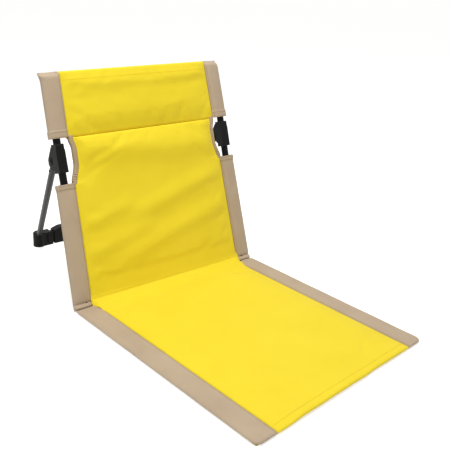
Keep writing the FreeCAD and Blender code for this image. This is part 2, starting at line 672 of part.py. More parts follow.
# Folds that hang between the tubes, each from one place on the back panel to another, across
# and up the back, with the height of its crest
hanging_folds = [((150, 213), (-55, 159), 3.2), ((165, 143), (20, 112), 3),
                 ((-75, 192), (-165, 160), 2.4),
                 ((-45, 139), (-165, 104), 3), ((-60, 82), (-165, 79), 2.4)]


def fold_height(x, along):
    """How far the folds near one place stand out over the even fullness of the panel."""
    total = 0
    for start, end, crest in hanging_folds:
        run = vec(end[0] - start[0], end[1] - start[1], 0)
        offset = vec(x - start[0], along - start[1], 0)
        reached = offset.dot(run) / run.Length
        aside = offset.cross(run).Length / run.Length / num(S.fold_width)
        past = max(-reached, reached - run.Length, 0) / num(S.fold_ease)
        total += crest * math.exp(-aside * aside - past * past)
    return total


def panel_section(along, front, rear, forward=0, folded=False):
    """A full front and a shallow rear between the sewn edges, brought forward by a distance."""
    reach = edge_x(along) - num(S.cloth_gap)
    edge = num(S.edge_thickness) / 2
    left, right = vec(-reach, -forward, along), vec(reach, -forward, along)
    near, far = vec(0, -edge, 0), vec(0, edge, 0)
    face = Part.Arc(left + near, vec(0, -forward - front, along), right + near)
    if folded:
        spots = []
        for step in range(-6, 7):
            share = step / 6
            swell = (front - edge) * (1 - share * share)
            fold = fold_height(share * reach, along) * (1 - share ** 6)
            spots.append(vec(share * reach, -forward - edge - swell - fold, along))
        face = Part.BSplineCurve()
        face.interpolate(spots)
    back = Part.Arc(right + far, vec(0, rear - forward, along), left + far)
    return Part.Wire([face.toShape(), Part.LineSegment(right + near, right + far).toShape(),
                      back.toShape(), Part.LineSegment(left + far, left + near).toShape()])


def cutout_arc(inset):
    """Three points of the curve that bounds a side cut-out, moved further in by an inset."""
    low, high = num(S.lower_mouth), num(S.seam_height)
    spots = [(low, 0), ((low + high) / 2, num(S.cutout_depth)), (high, 0)]
    return [vec(edge_x(along) - bow - inset, 0, along) for along, bow in spots]


def cutout_prism(inset, thickness):
    """A slab from a cut-out curve outwards past the border."""
    spots = cutout_arc(inset)
    far = half_width(0) + 10
    corners = [vec(far, 0, spots[2].z), vec(far, 0, spots[0].z)]
    wire = Part.Wire([Part.Arc(*spots).toShape(), Part.LineSegment(spots[2], corners[0]).toShape(),
                      Part.LineSegment(corners[0], corners[1]).toShape(),
                      Part.LineSegment(corners[1], spots[0]).toShape()])
    slab = Part.Face(wire).extrude(vec(0, thickness, 0))
    slab.translate(vec(0, -thickness / 2, 0))
    return slab


def back_panel(name):
    """The yellow panel below the header, with the soft folds that hang between the tubes."""
    full, rear = num(S.panel_front), num(S.panel_rear)
    low, high = num(S.seat_thickness) * 0.75, num(S.seam_height)
    foot_fullness = 0.6
    turn_in = num("(%s + %f * sin(%s) - %s) / cos(%s)" % (
        S.tube_setback, low, S.recline, S.cloth_gap, S.recline)) - foot_fullness * full
    folds = [(0, foot_fullness, 1), (0.06, 0.75, 0.74), (0.12, 0.85, 0.5), (0.18, 0.85, 0.3),
             (0.24, 0.8, 0.2), (0.3, 0.7, 0.1), (0.36, 0.7, 0), (0.42, 0.7, 0), (0.48, 0.7, 0),
             (0.54, 0.7, 0), (0.6, 0.65, 0), (0.66, 0.6, 0), (0.72, 0.5, 0), (0.8, 0.45, 0),
             (0.88, 0.65, 0), (0.95, 1.15, 0), (1, 0.8, 0)]
    shape = loft([panel_section(low + (high - low) * share, full * fullness, rear, turn_in * sweep,
                                folded=True)
                  for share, fullness, sweep in folds])
    opening = cutout_prism(num(S.binding_width) + num(S.cloth_gap), 6 * full)
    for side in (-1, 1):
        shape = shape.cut(on_side(side, opening))
    soft(name, shape)


def header_panel(name):
    full, rear = num(S.panel_front), num(S.panel_rear)
    low, high = num(S.seam_height) + num(S.cloth_gap), num(S.back_length)
    folds = [(0.0, 0.7), (0.15, 1.1), (0.6, 1.0), (0.93, 0.9), (1.0, 0.4)]
    soft(name, loft([panel_section(low + (high - low) * share, full * fullness, rear)
                     for share, fullness in folds]))


def cutout_binding(side, name):
    """A crescent of tape along the cut-out, between the sleeve mouth and the header seam."""
    tape = num(S.edge_thickness)
    band = cutout_prism(num(S.binding_width), tape).cut(cutout_prism(0, 2 * tape))
    soft(name, on_side(side, band))


def back_lining(name):
    """The plain cloth across the back of the panels, between the sleeves."""
    thick = num(S.lining_thickness)
    start = num(S.panel_rear) + num(S.cloth_gap)
    low, high = num(S.seat_thickness), num(S.back_length)
    corners = [vec(edge_x(low), start, low), vec(edge_x(high), start, high),
               vec(-edge_x(high), start, high), vec(-edge_x(low), start, low)]
    shape = Part.Face(Part.makePolygon(corners + corners[:1])).extrude(vec(0, thick, 0))
    opening = cutout_prism(num(S.binding_width) + num(S.cloth_gap), 40)
    for side in (-1, 1):
        shape = shape.cut(on_side(side, opening))
    soft(name, shape)


# Seat mat: an underside cloth, a foam sheet, a crowned panel, side borders and a front hem

def slab(low_x, high_x, low_y, high_y, low_z, high_z):
    return Part.makeBox(high_x - low_x, high_y - low_y, high_z - low_z, vec(low_x, low_y, low_z))


def seat_underside(name):
    half = num(S.fabric_width) / 2
    soft(name, slab(-half, half, -num(S.seat_length), 0, 0, num(S.lining_thickness)),
         crease_frame)


def seat_foam(name):
    half = num(S.fabric_width) / 2 - num(S.border_width) - num(S.cloth_gap)
    low = num(S.lining_thickness)
    front = -num(S.seat_length) + num(S.hem_width) + num(S.cloth_gap)
    soft(name, slab(-half, half, front, 0, low, low + num(S.foam_thickness)),
         crease_frame)


def seat_section(share):
    """One cross-section of the seat panel: thin at its sewn sides, full in the middle."""
    half = num(S.fabric_width) / 2 - num(S.border_width) - num(S.cloth_gap)
    low = num(S.lining_thickness) + num(S.foam_thickness)
    front = -num(S.seat_length) + num(S.hem_width) + num(S.cloth_gap)
    along = front * (1 - share)
    side_top = num(S.seat_thickness) - 1
    fullness = num(S.seat_crown) * 4 * share * (1 - share)
    corners = [vec(half, along, side_top), vec(-half, along, side_top), vec(-half, along, low),
               vec(half, along, low)]
    top = Part.Arc(corners[0], vec(0, along, num(S.seat_thickness) - 0.5 + fullness), corners[1])
    sides = [Part.LineSegment(corners[i], corners[(i + 1) % 4]).toShape() for i in (1, 2, 3)]
    return Part.Wire([top.toShape()] + sides)


def seat_panel(name):
    soft(name, loft([seat_section(share) for share in (0, 0.08, 0.3, 0.7, 0.92, 1)]), crease_frame)


def seat_border(side, name):
    """A flat tube of border cloth with a rounded outer edge."""
    outer = num(S.fabric_width) / 2
    inner = outer - num(S.border_width)
    low, high = num(S.lining_thickness), num(S.seat_thickness) - 1
    front = -num(S.seat_length)
    middle = (low + high) / 2
    spots = [vec(inner, front, low), vec(outer - 2, front, low), vec(outer - 2, front, high),
             vec(inner, front, high)]
    wire = Part.Wire([Part.LineSegment(spots[0], spots[1]).toShape(),
                      Part.Arc(spots[1], vec(outer, front, middle), spots[2]).toShape(),
                      Part.Arc(spots[2], vec((inner + outer) / 2, front, high + 0.8),
                               spots[3]).toShape(),
                      Part.LineSegment(spots[3], spots[0]).toShape()])
    soft(name, on_side(side, Part.Face(wire).extrude(vec(0, num(S.seat_length), 0))),
         crease_frame)


def front_hem(name):
    half = num(S.fabric_width) / 2 - num(S.border_width) - num(S.cloth_gap)
    front = -num(S.seat_length)
    low, high = num(S.lining_thickness), num(S.seat_thickness) - 1
    back = front + num(S.hem_width)
    spots = [vec(-half, back, low), vec(-half, front + 2, low), vec(-half, front + 2, high),
             vec(-half, back, high)]
    wire = Part.Wire([Part.LineSegment(spots[0], spots[1]).toShape(),
                      Part.Arc(spots[1], vec(-half, front, (low + high) / 2), spots[2]).toShape(),
                      Part.LineSegment(spots[2], spots[3]).toShape(),
                      Part.LineSegment(spots[3], spots[0]).toShape()])
    soft(name, Part.Face(wire).extrude(vec(2 * half, 0, 0)), crease_frame)


for side, word in ((-1, "left"), (1, "right")):
    side_tube(side, "side_tube_" + word)
    tube_cap(side, "lower_tube_cap_" + word, S.tube_start, False)
    tube_cap(side, "upper_tube_cap_" + word, "(%s + %s)" % (S.tube_start, S.tube_length), True)
    hub(side, "hub_" + word)
    pivot_rivet(side, "pivot_rivet_" + word)
    strut_end(side, "leg_fitting_" + word)
    strut(side, "rear_leg_tube_" + word)
    corner_foot(side, "corner_foot_" + word)
    leg_rivets(side, word)
    lower_sleeve(side, "lower_sleeve_" + word)
    upper_pocket(side, "upper_pocket_" + word)
    cutout_binding(side, "cutout_binding_" + word)
    seat_border(side, "seat_border_" + word)

rear_cross_bar("rear_cross_bar")
cross_bar_grip("cross_bar_grip")
back_panel("back_panel")
header_panel("header_panel")
back_lining("back_lining")
seat_underside("seat_underside")
seat_foam("seat_foam")
seat_panel("seat_panel")
front_hem("front_hem")

doc.recompute()
failed = [o.Name for o in doc.Objects if "Invalid" in o.State or "Error" in o.State]
failed += [p.Label for p in pieces if p.Shape.isNull() or not p.Shape.isValid()]
if failed:
    raise RuntimeError("pieces that did not build: " + ", ".join(failed))
os.makedirs("parts", exist_ok=True)
for piece in pieces:
    piece.Shape.exportStep("parts/%s.step" % piece.Label)
    box = piece.Shape.optimalBoundingBox()
    print("%-24s %d solid  %8.0f mm3  z %.1f to %.1f" % (
        piece.Label, len(piece.Shape.Solids), piece.Shape.Volume, box.ZMin, box.ZMax))
print("leg pivot at y %.3f z %.3f, crease at y %.3f z %.3f, feet at y %.3f" % (
    num(S.middle + " + " + S.pivot_y), num(S.pivot_z), num(S.middle), num(S.seat_thickness),
    num(S.middle + " + " + S.foot_y)))
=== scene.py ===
import json
import math
import bpy
import bmesh
from mathutils import Matrix, Vector, noise
from mathutils.bvhtree import BVHTree


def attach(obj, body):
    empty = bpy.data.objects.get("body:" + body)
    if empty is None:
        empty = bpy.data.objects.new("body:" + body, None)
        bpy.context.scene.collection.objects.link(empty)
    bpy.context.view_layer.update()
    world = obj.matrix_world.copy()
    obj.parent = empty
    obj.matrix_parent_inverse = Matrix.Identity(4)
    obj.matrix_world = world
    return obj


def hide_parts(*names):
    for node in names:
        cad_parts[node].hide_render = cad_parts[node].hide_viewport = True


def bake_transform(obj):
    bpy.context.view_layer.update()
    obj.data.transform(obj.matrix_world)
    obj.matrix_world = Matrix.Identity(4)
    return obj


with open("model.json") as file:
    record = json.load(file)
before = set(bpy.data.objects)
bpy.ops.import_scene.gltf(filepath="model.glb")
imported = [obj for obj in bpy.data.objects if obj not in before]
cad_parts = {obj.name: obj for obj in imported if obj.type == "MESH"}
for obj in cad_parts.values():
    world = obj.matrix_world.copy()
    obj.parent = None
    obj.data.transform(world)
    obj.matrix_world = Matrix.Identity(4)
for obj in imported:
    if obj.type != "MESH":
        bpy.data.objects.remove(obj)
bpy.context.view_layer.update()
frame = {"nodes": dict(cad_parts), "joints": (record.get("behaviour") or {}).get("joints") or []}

# Folding floor chair. Lengths are millimetres up to the mesh, which is in metres.
nodes = frame["nodes"]
joints = {joint["name"]: joint for joint in frame["joints"]}
creaseY = joints["seat_fold"]["pos_m"][1] * 1000
print("frame loaded:", len(nodes), "nodes")

# The part's own sizes, on which the cloth is cut
chair = dict(
    recline=math.radians(16.5),
    setback=9.4,          # side tube axis behind the crease
    backLength=448,
    halfWidth=225,
    sideTaper=14,
    sleeveWidth=38,       # sleeves and pockets of the back
    borderWidth=44,       # side borders of the mat
    tubeX=199.5,
    tubeRadius=7.25,
    mouth=240,            # top of the lower sleeves, along the back
    seam=325,             # under the header
    cutoutDepth=4.9,
    seatLength=478,
    matSkew=20,           # the mat lies a little askew, left corner further forward
    seamAllowance=2,      # cloth this near a seam is sewn fast
    sideGap=0.3,          # between a panel and the sleeve beside it
    joinGap=0.2,          # between two cloths that meet at a seam
    leastHeight=0.3,      # no sleeve point lies lower
)
leanSin, leanCos = math.sin(chair["recline"]), math.cos(chair["recline"])


def smoothStep(low, high, value):
    t = min(1, max(0, (value - low) / (high - low)))
    return t * t * (3 - 2 * t)


def hump(value, middle, width):
    return math.exp(-((value - middle) / width) ** 2)


def onBack(x, behind, along):
    y = creaseY + chair["setback"] + along * leanSin + behind * leanCos
    z = along * leanCos - behind * leanSin
    return Vector((x, y, z)) / 1000


def onMat(x, forward, z):
    askew = forward * (1 - chair["matSkew"] / chair["seatLength"] * x / chair["halfWidth"])
    return Vector((x, creaseY - askew, z)) / 1000


def halfWidthAt(along):
    return chair["halfWidth"] - chair["sideTaper"] * along / chair["backLength"]


def seamX(along):
    return halfWidthAt(along) - chair["sleeveWidth"]


def cutoutBow(along):
    # The side cut-out is flat in its middle and runs out to the seams at both ends
    return chair["cutoutDepth"] * smoothStep(252, 275, along) * smoothStep(323, 303, along)


def insideCutout(along):
    low, high = chair["mouth"], chair["seam"]
    return smoothStep(low - 3, low + 4, along) * smoothStep(high + 1, high - 5, along)


def spots(low, high, step, fineEnds=True):
    # Stations with a few close ones at the ends, where the cloth turns over
    count = max(2, round((high - low) / step))
    found = [low + (high - low) * i / count for i in range(count + 1)]
    if fineEnds:
        for near in (0.5, 1.2, 2.2, 3.4):
            found += [low + near, high - near]
    return sorted(set(found))


def unevenness(x, y, scale, seed):
    return noise.noise(Vector((x / scale, y / scale, seed * 7.31)))


# Materials: one function turns a hex colour to linear, one adds a node
def toLinear(hexColour):
    parts = [int(hexColour[i:i + 2], 16) / 255 for i in (1, 3, 5)]
    return tuple(c / 12.92 if c <= 0.04045 else ((c + 0.055) / 1.055) ** 2.4 for c in parts) + (1,)


def addNode(tree, kind, inputs=None, **settings):
    node = tree.nodes.new(kind)
    for key, value in settings.items():
        setattr(node, key, value)
    for key, value in (inputs or {}).items():
        if isinstance(value, bpy.types.NodeSocket):
            tree.links.new(value, node.inputs[key])
        else:
            node.inputs[key].default_value = value
    return node


def newMaterial(name, **shader):
    material = bpy.data.materials.new(name)
    material.use_nodes = True
    principled = material.node_tree.nodes["Principled BSDF"]
    for key, value in shader.items():
        principled.inputs[key.replace("_", " ")].default_value = value
    return material, material.node_tree, principled


def ramp(tree, factor, *stops):
    node = addNode(tree, "ShaderNodeValToRGB", {"Fac": factor})
    elements = node.color_ramp.elements
    while len(elements) < len(stops):
        elements.new(0.5)
    for element, (place, colour) in zip(elements, stops):
        element.position = place
        element.color = toLinear(colour)
    return node.outputs["Color"]


def plainWeave(tree, threadMm):
    # Warp over weft in a chequer: each thread rises where it lies on top
    flat = addNode(tree, "ShaderNodeUVMap", uv_map="cloth")
    scaled = addNode(tree, "ShaderNodeVectorMath", {0: flat.outputs["UV"],
                     1: (1000 / threadMm,) * 3}, operation="MULTIPLY")
    split = addNode(tree, "ShaderNodeSeparateXYZ", {0: scaled.outputs[0]})
    chequer = addNode(tree, "ShaderNodeTexChecker", {"Vector": scaled.outputs[0], "Scale": 1.0})
    threads = []
    for axis in ("X", "Y"):
        turn = addNode(tree, "ShaderNodeMath", {0: split.outputs[axis], 1: math.pi},
                       operation="MULTIPLY")
        wave = addNode(tree, "ShaderNodeMath", {0: turn.outputs[0]}, operation="SINE")
        threads.append(addNode(tree, "ShaderNodeMath", {0: wave.outputs[0]}, operation="ABSOLUTE"))
    woven = addNode(tree, "ShaderNodeMix", {"Factor": chequer.outputs["Fac"],
                    "A": threads[0].outputs[0], "B": threads[1].outputs[0]}, data_type="FLOAT")
    return woven.outputs[0]


def wovenCloth(name, dark, base, light, threadMm=1.1, relief=0.00012, roughness=0.72):
    # Polyester oxford with a coated back: dull and even, a faint grain of threads, and a soft
    # bloom at low angles from the loose fibres. Threads are 0.5 mm in life, drawn twice as coarse.
    material, tree, principled = newMaterial(name, Roughness=roughness, Sheen_Weight=0.08,
                                             Sheen_Roughness=0.45, Specular_IOR_Level=0.35)
    place = addNode(tree, "ShaderNodeTexCoord").outputs["Object"]
    patches = addNode(tree, "ShaderNodeTexNoise", {"Vector": place, "Scale": 14.0, "Detail": 3.0})
    colour = ramp(tree, patches.outputs["Fac"], (0.3, dark), (0.5, base), (0.72, light))
    weave = plainWeave(tree, threadMm)
    # Painted shade on the weave: the gaps between threads are drawn darker and the thread tops a
    # little lighter
    weaveGapShade = addNode(tree, "ShaderNodeMapRange", {"Value": weave, "To Min": 0.93, "To Max": 1.03})
    tinted = addNode(tree, "ShaderNodeMix", {"Factor": 1.0, "A": colour,
                     "B": weaveGapShade.outputs["Result"]}, data_type="RGBA", blend_type="MULTIPLY")
    tree.links.new(tinted.outputs["Result"], principled.inputs["Base Color"])
    slub = addNode(tree, "ShaderNodeTexNoise", {"Vector": place, "Scale": 420.0, "Detail": 2.0})
    grain = addNode(tree, "ShaderNodeMath", {0: slub.outputs["Fac"], 1: 0.35, 2: weave},
                    operation="MULTIPLY_ADD")
    bump = addNode(tree, "ShaderNodeBump", {"Height": grain.outputs[0], "Distance": relief,
                   "Strength": 0.8})
    tree.links.new(bump.outputs["Normal"], principled.inputs["Normal"])
    return material


def mouldedPlastic(name, base, light, roughness):
    # Glass-filled nylon from a spark-eroded mould: near black, with a fine matt grain
    material, tree, principled = newMaterial(name, IOR=1.53, Specular_IOR_Level=0.14)
    place = addNode(tree, "ShaderNodeTexCoord").outputs["Object"]
    cloudy = addNode(tree, "ShaderNodeTexNoise", {"Vector": place, "Scale": 60.0, "Detail": 4.0})
    tree.links.new(ramp(tree, cloudy.outputs["Fac"], (0.35, base), (0.75, light)),
                   principled.inputs["Base Color"])
    gloss = addNode(tree, "ShaderNodeMapRange", {"Value": cloudy.outputs["Fac"],
                    "To Min": roughness - 0.08, "To Max": roughness + 0.1})
    tree.links.new(gloss.outputs["Result"], principled.inputs["Roughness"])
    grain = addNode(tree, "ShaderNodeTexNoise", {"Vector": place, "Scale": 1600.0, "Detail": 2.0})
    bump = addNode(tree, "ShaderNodeBump", {"Height": grain.outputs["Fac"], "Distance": 0.00008,
                   "Strength": 0.6})
    tree.links.new(bump.outputs["Normal"], principled.inputs["Normal"])
    return material


def coatedMetal(name, dark, light, metallic, roughness, along, shine=0.5):
    # Drawn aluminium tube: faint streaks along its length under the coat
    material, tree, principled = newMaterial(name, Metallic=metallic, Specular_IOR_Level=shine)
    place = addNode(tree, "ShaderNodeTexCoord").outputs["Object"]
    drawn = addNode(tree, "ShaderNodeMapping", {"Vector": place, "Scale": along})
    streaks = addNode(tree, "ShaderNodeTexNoise", {"Vector": drawn.outputs[0], "Scale": 1.0,
                      "Detail": 4.0})
    tree.links.new(ramp(tree, streaks.outputs["Fac"], (0.35, dark), (0.65, light)),
                   principled.inputs["Base Color"])
    gloss = addNode(tree, "ShaderNodeMapRange", {"Value": streaks.outputs["Fac"],
                    "To Min": roughness - 0.05, "To Max": roughness + 0.1})
    tree.links.new(gloss.outputs["Result"], principled.inputs["Roughness"])
    return material


yellowCloth = wovenCloth("yellowOxford", "#ead11b", "#ecd31e", "#eed522")
liningCloth = wovenCloth("yellowLining", "#dfbd12", "#e3c117", "#e7c61d", threadMm=0.9)
tanCloth = wovenCloth("tanOxford", "#af9a82", "#b4a087", "#b9a58c")
tanTape = wovenCloth("tanEdgeTape", "#a8916f", "#b39c7a", "#baa585", threadMm=1.6, relief=0.0003)
yellowThread = newMaterial("yellowThread", Base_Color=toLinear("#e2bd10"), Roughness=0.6)[0]
tanThread = newMaterial("tanThread", Base_Color=toLinear("#937c5b"), Roughness=0.6)[0]
blackNylon = mouldedPlastic("blackNylon", "#060606", "#0b0b0b", 0.5)
greyNylon = mouldedPlastic("greyNylon", "#161617", "#202021", 0.5)
blackTube = coatedMetal("blackPowderCoat", "#060606", "#0a0a0a", 0.0, 0.4, (90, 12, 12),
                        shine=0.12)
greyTube = coatedMetal("greyAnodised", "#18191a", "#2a2b2c", 0.85, 0.36, (260, 30, 30))
blackSteel = coatedMetal("blackZinc", "#0d0d0d", "#161616", 0.4, 0.4, (80, 80, 80), shine=0.2)
print("materials made")


# Camera, lights and floor
view = dict(
    place=(-0.826, creaseY / 1000 - 1.079, 0.644),
    yaw=math.radians(41.8),
    pitch=math.radians(20.5),
    roll=math.radians(2.8),
    focalPixels=719,      # on a picture 450 pixels wide
    pictureWidth=450,
    sensor=36,
)


def placeCamera():
    ahead = Vector((math.sin(view["yaw"]) * math.cos(view["pitch"]),
                    math.cos(view["yaw"]) * math.cos(view["pitch"]), -math.sin(view["pitch"])))
    level = ahead.cross(Vector((0, 0, 1))).normalized()
    upright = level.cross(ahead)
    across = math.cos(view["roll"]) * level + math.sin(view["roll"]) * upright
    up = across.cross(ahead)
    data = bpy.data.cameras.new("camera")
    data.sensor_width = view["sensor"]
    data.lens = view["focalPixels"] * view["sensor"] / view["pictureWidth"]
    data.clip_start = 0.05
    camera = bpy.data.objects.new("camera", data)
    turn = Matrix((across, up, -ahead)).transposed().to_4x4()
    camera.matrix_world = Matrix.Translation(view["place"]) @ turn
    bpy.context.scene.collection.objects.link(camera)
    bpy.context.scene.camera = camera


def addLamp(name, place, target, size, power):
    data = bpy.data.lights.new(name, "AREA")
    data.shape, data.size, data.energy = "DISK", size, power
    lamp = bpy.data.objects.new(name, data)
    lamp.location = place
    lamp.rotation_euler = (Vector(target) - Vector(place)).to_track_quat("-Z", "Y").to_euler()
    bpy.context.scene.collection.objects.link(lamp)


def whiteForCamera(tree, strength):
    # 1 for rays that see the backdrop itself or its reflection
    path = addNode(tree, "ShaderNodeLightPath")
    seen = addNode(tree, "ShaderNodeMath", {0: path.outputs["Is Camera Ray"],
                   1: path.outputs["Is Glossy Ray"]}, operation="MAXIMUM")
    seen = addNode(tree, "ShaderNodeMath", {0: seen.outputs[0],
                   1: path.outputs["Is Transmission Ray"]}, operation="MAXIMUM")
    return addNode(tree, "ShaderNodeMath", {0: seen.outputs[0], 1: strength},
                   operation="MULTIPLY")


light = dict(
    sky=0.52, floorGlow=0.56, floorColour="#e6e6e4", floorSize=40.0, floorDrop=0.0004,
    key=dict(place=(-0.35, -0.2, 2.1), target=(0, -0.05, 0.1), size=0.8, power=32.0),
    front=dict(place=(0.2, -1.9, 1.5), target=(0, 0.1, 0.2), size=1.6, power=0.4),
)


def lightStage():
    scene = bpy.context.scene
    scene.view_settings.view_transform = "Standard"
    world = bpy.data.worlds.new("studio")
    world.use_nodes = True
    scene.world = world
    tree = world.node_tree
    background = tree.nodes["Background"]
    seen = whiteForCamera(tree, 1 - light["sky"])
    strength = addNode(tree, "ShaderNodeMath", {0: seen.outputs[0], 1: light["sky"]},
                       operation="ADD")
    background.inputs["Color"].default_value = (1, 1, 1, 1)
    tree.links.new(strength.outputs[0], background.inputs["Strength"])
    addLamp("keyLamp", **light["key"])
    addLamp("frontLamp", **light["front"])
    floorMaterial, tree, principled = newMaterial("paleFloor", Roughness=0.9,
                                                  Specular_IOR_Level=0.1,
                                                  Base_Color=toLinear(light["floorColour"]))
    glow = whiteForCamera(tree, light["floorGlow"])
    principled.inputs["Emission Color"].default_value = (1, 1, 1, 1)
    tree.links.new(glow.outputs[0], principled.inputs["Emission Strength"])
    mesh = bpy.data.meshes.new("floor")
    half = light["floorSize"] / 2
    mesh.from_pydata([(-half, -half, 0), (half, -half, 0), (half, half, 0), (-half, half, 0)],
                     [], [(0, 1, 2, 3)])
    mesh.materials.append(floorMaterial)
    floor = bpy.data.objects.new("floor", mesh)
    scene.collection.objects.link(floor)
    floor.location.z = -light["floorDrop"]


placeCamera()
lightStage()
print("camera, lamps and floor set")


# Cloth pieces are lofted: closed loops of points, one after another, with both ends closed
def loftPiece(name, loops, material):
    count = len(loops[0])
    endStrip = 0.002
    middle = loops[len(loops) // 2]
    across = [0]
    for i in range(count):
        across.append(across[-1] + (middle[(i + 1) % count] - middle[i]).length)
    along = [0]
    for first, second in zip(loops, loops[1:]):
        along.append(along[-1] + max((second[i] - first[i]).length for i in (0, count // 4)))
    faces, flats = [], []
    for row in range(len(loops) - 1):
        for i in range(count):
            j = (i + 1) % count
            faces.append((row * count + i, row * count + j, (row + 1) * count + j,
                          (row + 1) * count + i))
            flats += [(across[i], along[row]), (across[i + 1], along[row]),
                      (across[i + 1], along[row + 1]), (across[i], along[row + 1])]
    for row in (0, len(loops) - 1):
        start = row * count
        for i in range(count // 2 - 1):
            j = count - 1 - i
            faces.append((start + i, start + i + 1, start + j - 1, start + j))
            flats += [(across[i], along[row]), (across[i + 1], along[row]),
                      (across[i + 1], along[row] + endStrip), (across[i], along[row] + endStrip)]
    mesh = bpy.data.meshes.new(name)
    mesh.from_pydata([tuple(p) for loop in loops for p in loop], [], faces)
    layer = mesh.uv_layers.new(name="cloth")
    layer.data.foreach_set("uv", [value for pair in flats for value in pair])
    build = bmesh.new()
    build.from_mesh(mesh)
    bmesh.ops.recalc_face_normals(build, faces=build.faces)
    for face in build.faces:
        face.smooth = True
    build.to_mesh(mesh)
    build.free()
    mesh.materials.append(material)
    piece = bpy.data.objects.new(name, mesh)
    bpy.context.scene.collection.objects.link(piece)
    return piece


def puff(piece, held, pressure, cap, slack, frames=20):
    # Air pressure fills the pad between its seams; no point moves further than the cap
    scene = bpy.context.scene
    mesh = piece.data
    furthest = cap / 1000
    before = [v.co.copy() for v in mesh.vertices]
    group = piece.vertex_groups.new(name="sewn")
    for v in mesh.vertices:
        weight = held(v.co)
        if weight > 0:
            group.add([v.index], weight, "REPLACE")
    cloth = piece.modifiers.new("Cloth", "CLOTH")
    cloth.settings.quality = 6
    cloth.settings.mass = 0.2
    cloth.settings.tension_stiffness = cloth.settings.compression_stiffness = 12
    cloth.settings.bending_stiffness = 1.5
    cloth.settings.use_pressure = True
    cloth.settings.uniform_pressure_force = pressure
    cloth.settings.vertex_group_mass = "sewn"
    cloth.settings.shrink_min = -slack
    cloth.settings.effector_weights.gravity = 0
    cloth.collision_settings.use_collision = False
    cloth.point_cache.frame_start, cloth.point_cache.frame_end = 1, frames
    for frameNumber in range(1, frames + 1):
        scene.frame_set(frameNumber)
    settled = piece.evaluated_get(bpy.context.evaluated_depsgraph_get()).to_mesh()
    after = [v.co.copy() for v in settled.vertices]
    piece.modifiers.remove(cloth)
    scene.frame_set(1)
    for v, old, new in zip(mesh.vertices, before, after):
        move = new - old
        v.co = old + (move if move.length <= furthest else move * (furthest / move.length))
    piece.vertex_groups.clear()


def soften(piece):
    finer = piece.modifiers.new("finer", "SUBSURF")
    finer.levels = finer.render_levels = 1
    mesh = bpy.data.meshes.new_from_object(
        piece.evaluated_get(bpy.context.evaluated_depsgraph_get()))
    piece.modifiers.clear()
    piece.data = mesh
    for polygon in mesh.polygons:
        polygon.use_smooth = True


def ridgeHeight(x, along, ridges):
    # Each soft fold is a ridge from one point to another, wide and low, that dies away at its ends
    total, runOut = 0, 1.6
    for (x1, a1), (x2, a2), width, height in ridges:
        dx, da = x2 - x1, a2 - a1
        length = math.hypot(dx, da)
        t = ((x - x1) * dx + (along - a1) * da) / length ** 2
        aside = ((x - x1) * da - (along - a1) * dx) / length
        overrun = max(0, -t, t - 1) * length
        total += height * math.exp(-(aside / width) ** 2 - (overrun / (runOut * width)) ** 2)
    return total


# Back panel: yellow cloth over thin foam, slack enough for soft folds between the tubes
backPanelLook = dict(
    low=5, edgeFront=4.6, edgeRear=1.8, crown=3.2, rearCrown=1.2, columns=84, step=4.6,
    endShare=0.15, footReach=7.6, footTop=24, footTuck=4, tuckTop=40, seamDip=1.6, seamDipWidth=5,
    flatShare=0.86, foldsFrom=10, foldsFull=36, sway=0.4, swaySize=30,
    tapeTuck=4, tapeThin=0.5, tapeThinWidth=20,
    sewnWidth=14, sewnFoot=30, freeFoot=60, sewnTop=8, pressure=2.0, cap=2.5, slack=0.003,
    ridges=[
        ((-135, 298), (125, 276), 26, 6.4),       # roll below the header seam
        ((145, 210), (-45, 162), 19, 4.4),        # long folds from upper right to lower left
        ((155, 141), (-70, 86), 20, 4.2),
        ((-84, 180), (-172, 158), 15, 2.8),       # short folds that start at the left border
        ((-48, 129), (-172, 101), 16, 3.0),
    ],
)


def panelReach(along):
    tuck = backPanelLook["tapeTuck"] * insideCutout(along)
    return seamX(along) - chair["sideGap"] - cutoutBow(along) - tuck


def endTurn(distance, radius=3.4):
    # Rounds a padded end over: 0 at the very end, 1 a few millimetres in
    return math.sqrt(max(0, 1 - max(0, 1 - distance / radius) ** 2))


def backFront(x, along):
    look = backPanelLook
    reach = panelReach(along)
    share = min(1, abs(x) / reach)
    nearTape = smoothStep(reach - look["tapeThinWidth"], reach, abs(x))
    thin = 1 - look["tapeThin"] * insideCutout(along) * nearTape
    crown = look["crown"] * (1 - share ** 4)
    front = look["edgeFront"] * thin + crown
    fade = smoothStep(1.0, look["flatShare"], share) * smoothStep(
        look["foldsFrom"], look["foldsFull"], along)
    front += ridgeHeight(x, along, look["ridges"]) * fade
    front += look["sway"] * unevenness(x, along * 1.6, look["swaySize"], 1) * fade
    front -= look["seamDip"] * hump(along, chair["seam"], look["seamDipWidth"])
    foot = 1 - smoothStep(look["low"], look["footTop"], along)
    return front + (look["footReach"] - look["edgeFront"] - crown) * foot


def padLoop(along, xs, fronts, rears, turn):
    # A closed loop round a pad: along its front side, then back along its rear side
    frontSide, rearSide = [], []
    for x, front, rear in zip(xs, fronts, rears):
        centre, half = (rear - front) / 2, (front + rear) / 2 * turn
        frontSide.append(onBack(x, centre - half, along))
        rearSide.append(onBack(x, centre + half, along))
    return frontSide + rearSide[::-1]


